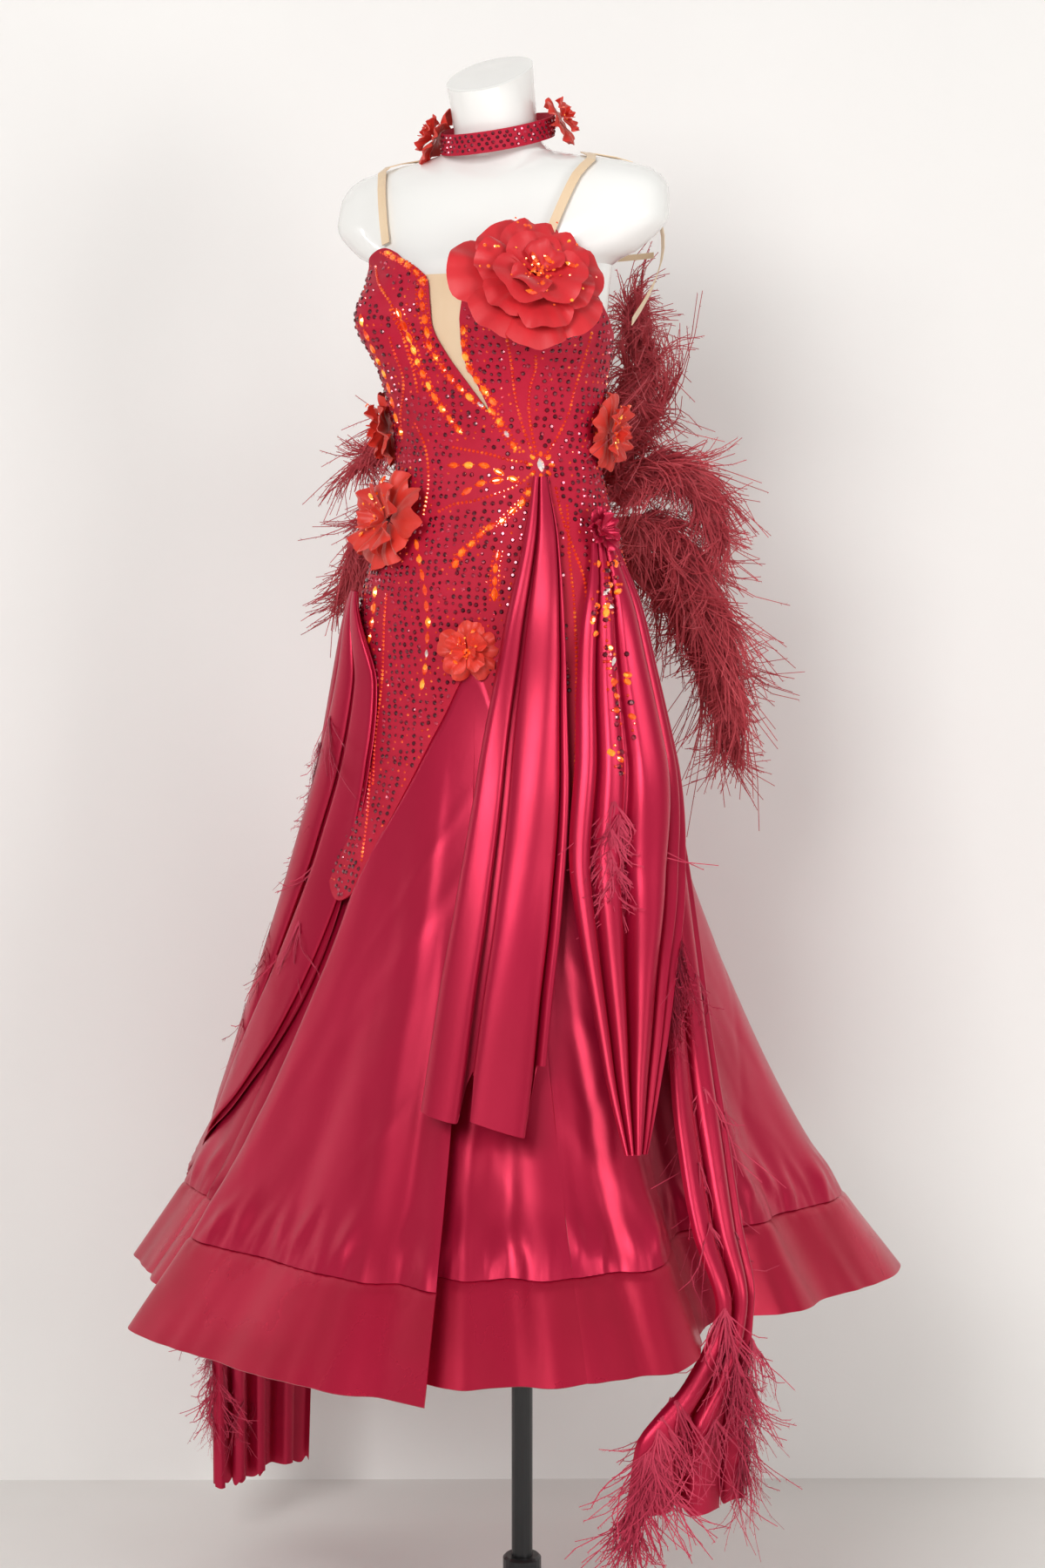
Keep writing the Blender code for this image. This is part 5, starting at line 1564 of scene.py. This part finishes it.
def make_camera():
    data = bpy.data.cameras.new("camera")
    data.lens = 66.24
    data.sensor_width = 36.0
    camera = placed("camera", data, CAMERA_TURN, CAMERA_FAR, CAMERA_HEIGHT)
    camera.location.y += BODY_Y
    camera.rotation_euler = (np.radians(90 - LOOKS_DOWN), 0.0, np.radians(CAMERA_TURN - LOOKS_RIGHT))
    bpy.context.scene.camera = camera


def make_lights():
    for name, turn, far, height, size, watts in LIGHTS:
        data = bpy.data.lights.new(name, "AREA")
        data.size = size
        data.energy = watts
        lamp = placed(name, data, turn, far, height)
        lamp.rotation_euler = (LIGHTS_AIM - lamp.location).to_track_quat("-Z", "Y").to_euler()
    world = bpy.data.worlds.new("studio")
    bpy.context.scene.world = world
    world.use_nodes = True
    shade = world.node_tree.nodes["Background"]
    shade.inputs["Color"].default_value = (0.92, 0.90, 0.875, 1)
    shade.inputs["Strength"].default_value = 0.40


def make_floor():
    deselect()
    bpy.ops.mesh.primitive_circle_add(vertices=96, radius=FLOOR_RADIUS, fill_type="NGON")
    floor = bpy.context.object
    floor.name = "floor"
    floor.data.materials.append(PALE)


BACKDROP_TURN = 207.0  # the way it stands from the dress
BACKDROP_FAR = 0.59
BACKDROP_HALF = 4.0
BACKDROP_TALL = 5.0
PALE = material("pale paper", (0.86, 0.845, 0.82), (0.83, 0.815, 0.79), 2.0, (0.6, 0.8))
PAPER = material("backdrop paper", (0.90, 0.885, 0.865), (0.88, 0.865, 0.845), 2.0, (0.7, 0.8))


def make_backdrop():
    """A sheet of paper behind the dress, seen only from its front."""
    tree = PAPER.node_tree
    shader, surface = tree.nodes["Principled BSDF"], tree.nodes["Material Output"]
    sides = node(tree, "ShaderNodeNewGeometry")
    gone = node(tree, "ShaderNodeBsdfTransparent")
    mix = node(tree, "ShaderNodeMixShader", [(0, sides.outputs["Backfacing"]), (1, shader.outputs[0]),
                                             (2, gone.outputs[0])])
    tree.links.new(mix.outputs[0], surface.inputs["Surface"])
    turn = np.radians(BACKDROP_TURN)
    away = np.array([np.sin(turn), -np.cos(turn), 0.0])
    side = np.array([away[1], -away[0], 0.0])
    middle = np.array([0.0, BODY_Y, 0.0]) + away * BACKDROP_FAR
    across = np.linspace(-BACKDROP_HALF, BACKDROP_HALF, 3)[None, :, None] * side
    height = np.linspace(0.0, BACKDROP_TALL, 3)[:, None, None] * np.array([0.0, 0.0, 1.0])
    paper = grid("backdrop", middle + across + height)
    paper.data.materials.append(PAPER)


def main():
    make_camera()
    make_form()
    dress_solids()
    make_sheath()
    make_skirt()
    make_drapes()
    models = make_stones()
    make_choker(models)
    make_flowers(models)
    make_brooch(models)
    make_cascade(models)
    make_feathers()
    make_lights()
    make_floor()
    make_backdrop()


main()
bpy.context.scene.view_settings.view_transform = "Standard"
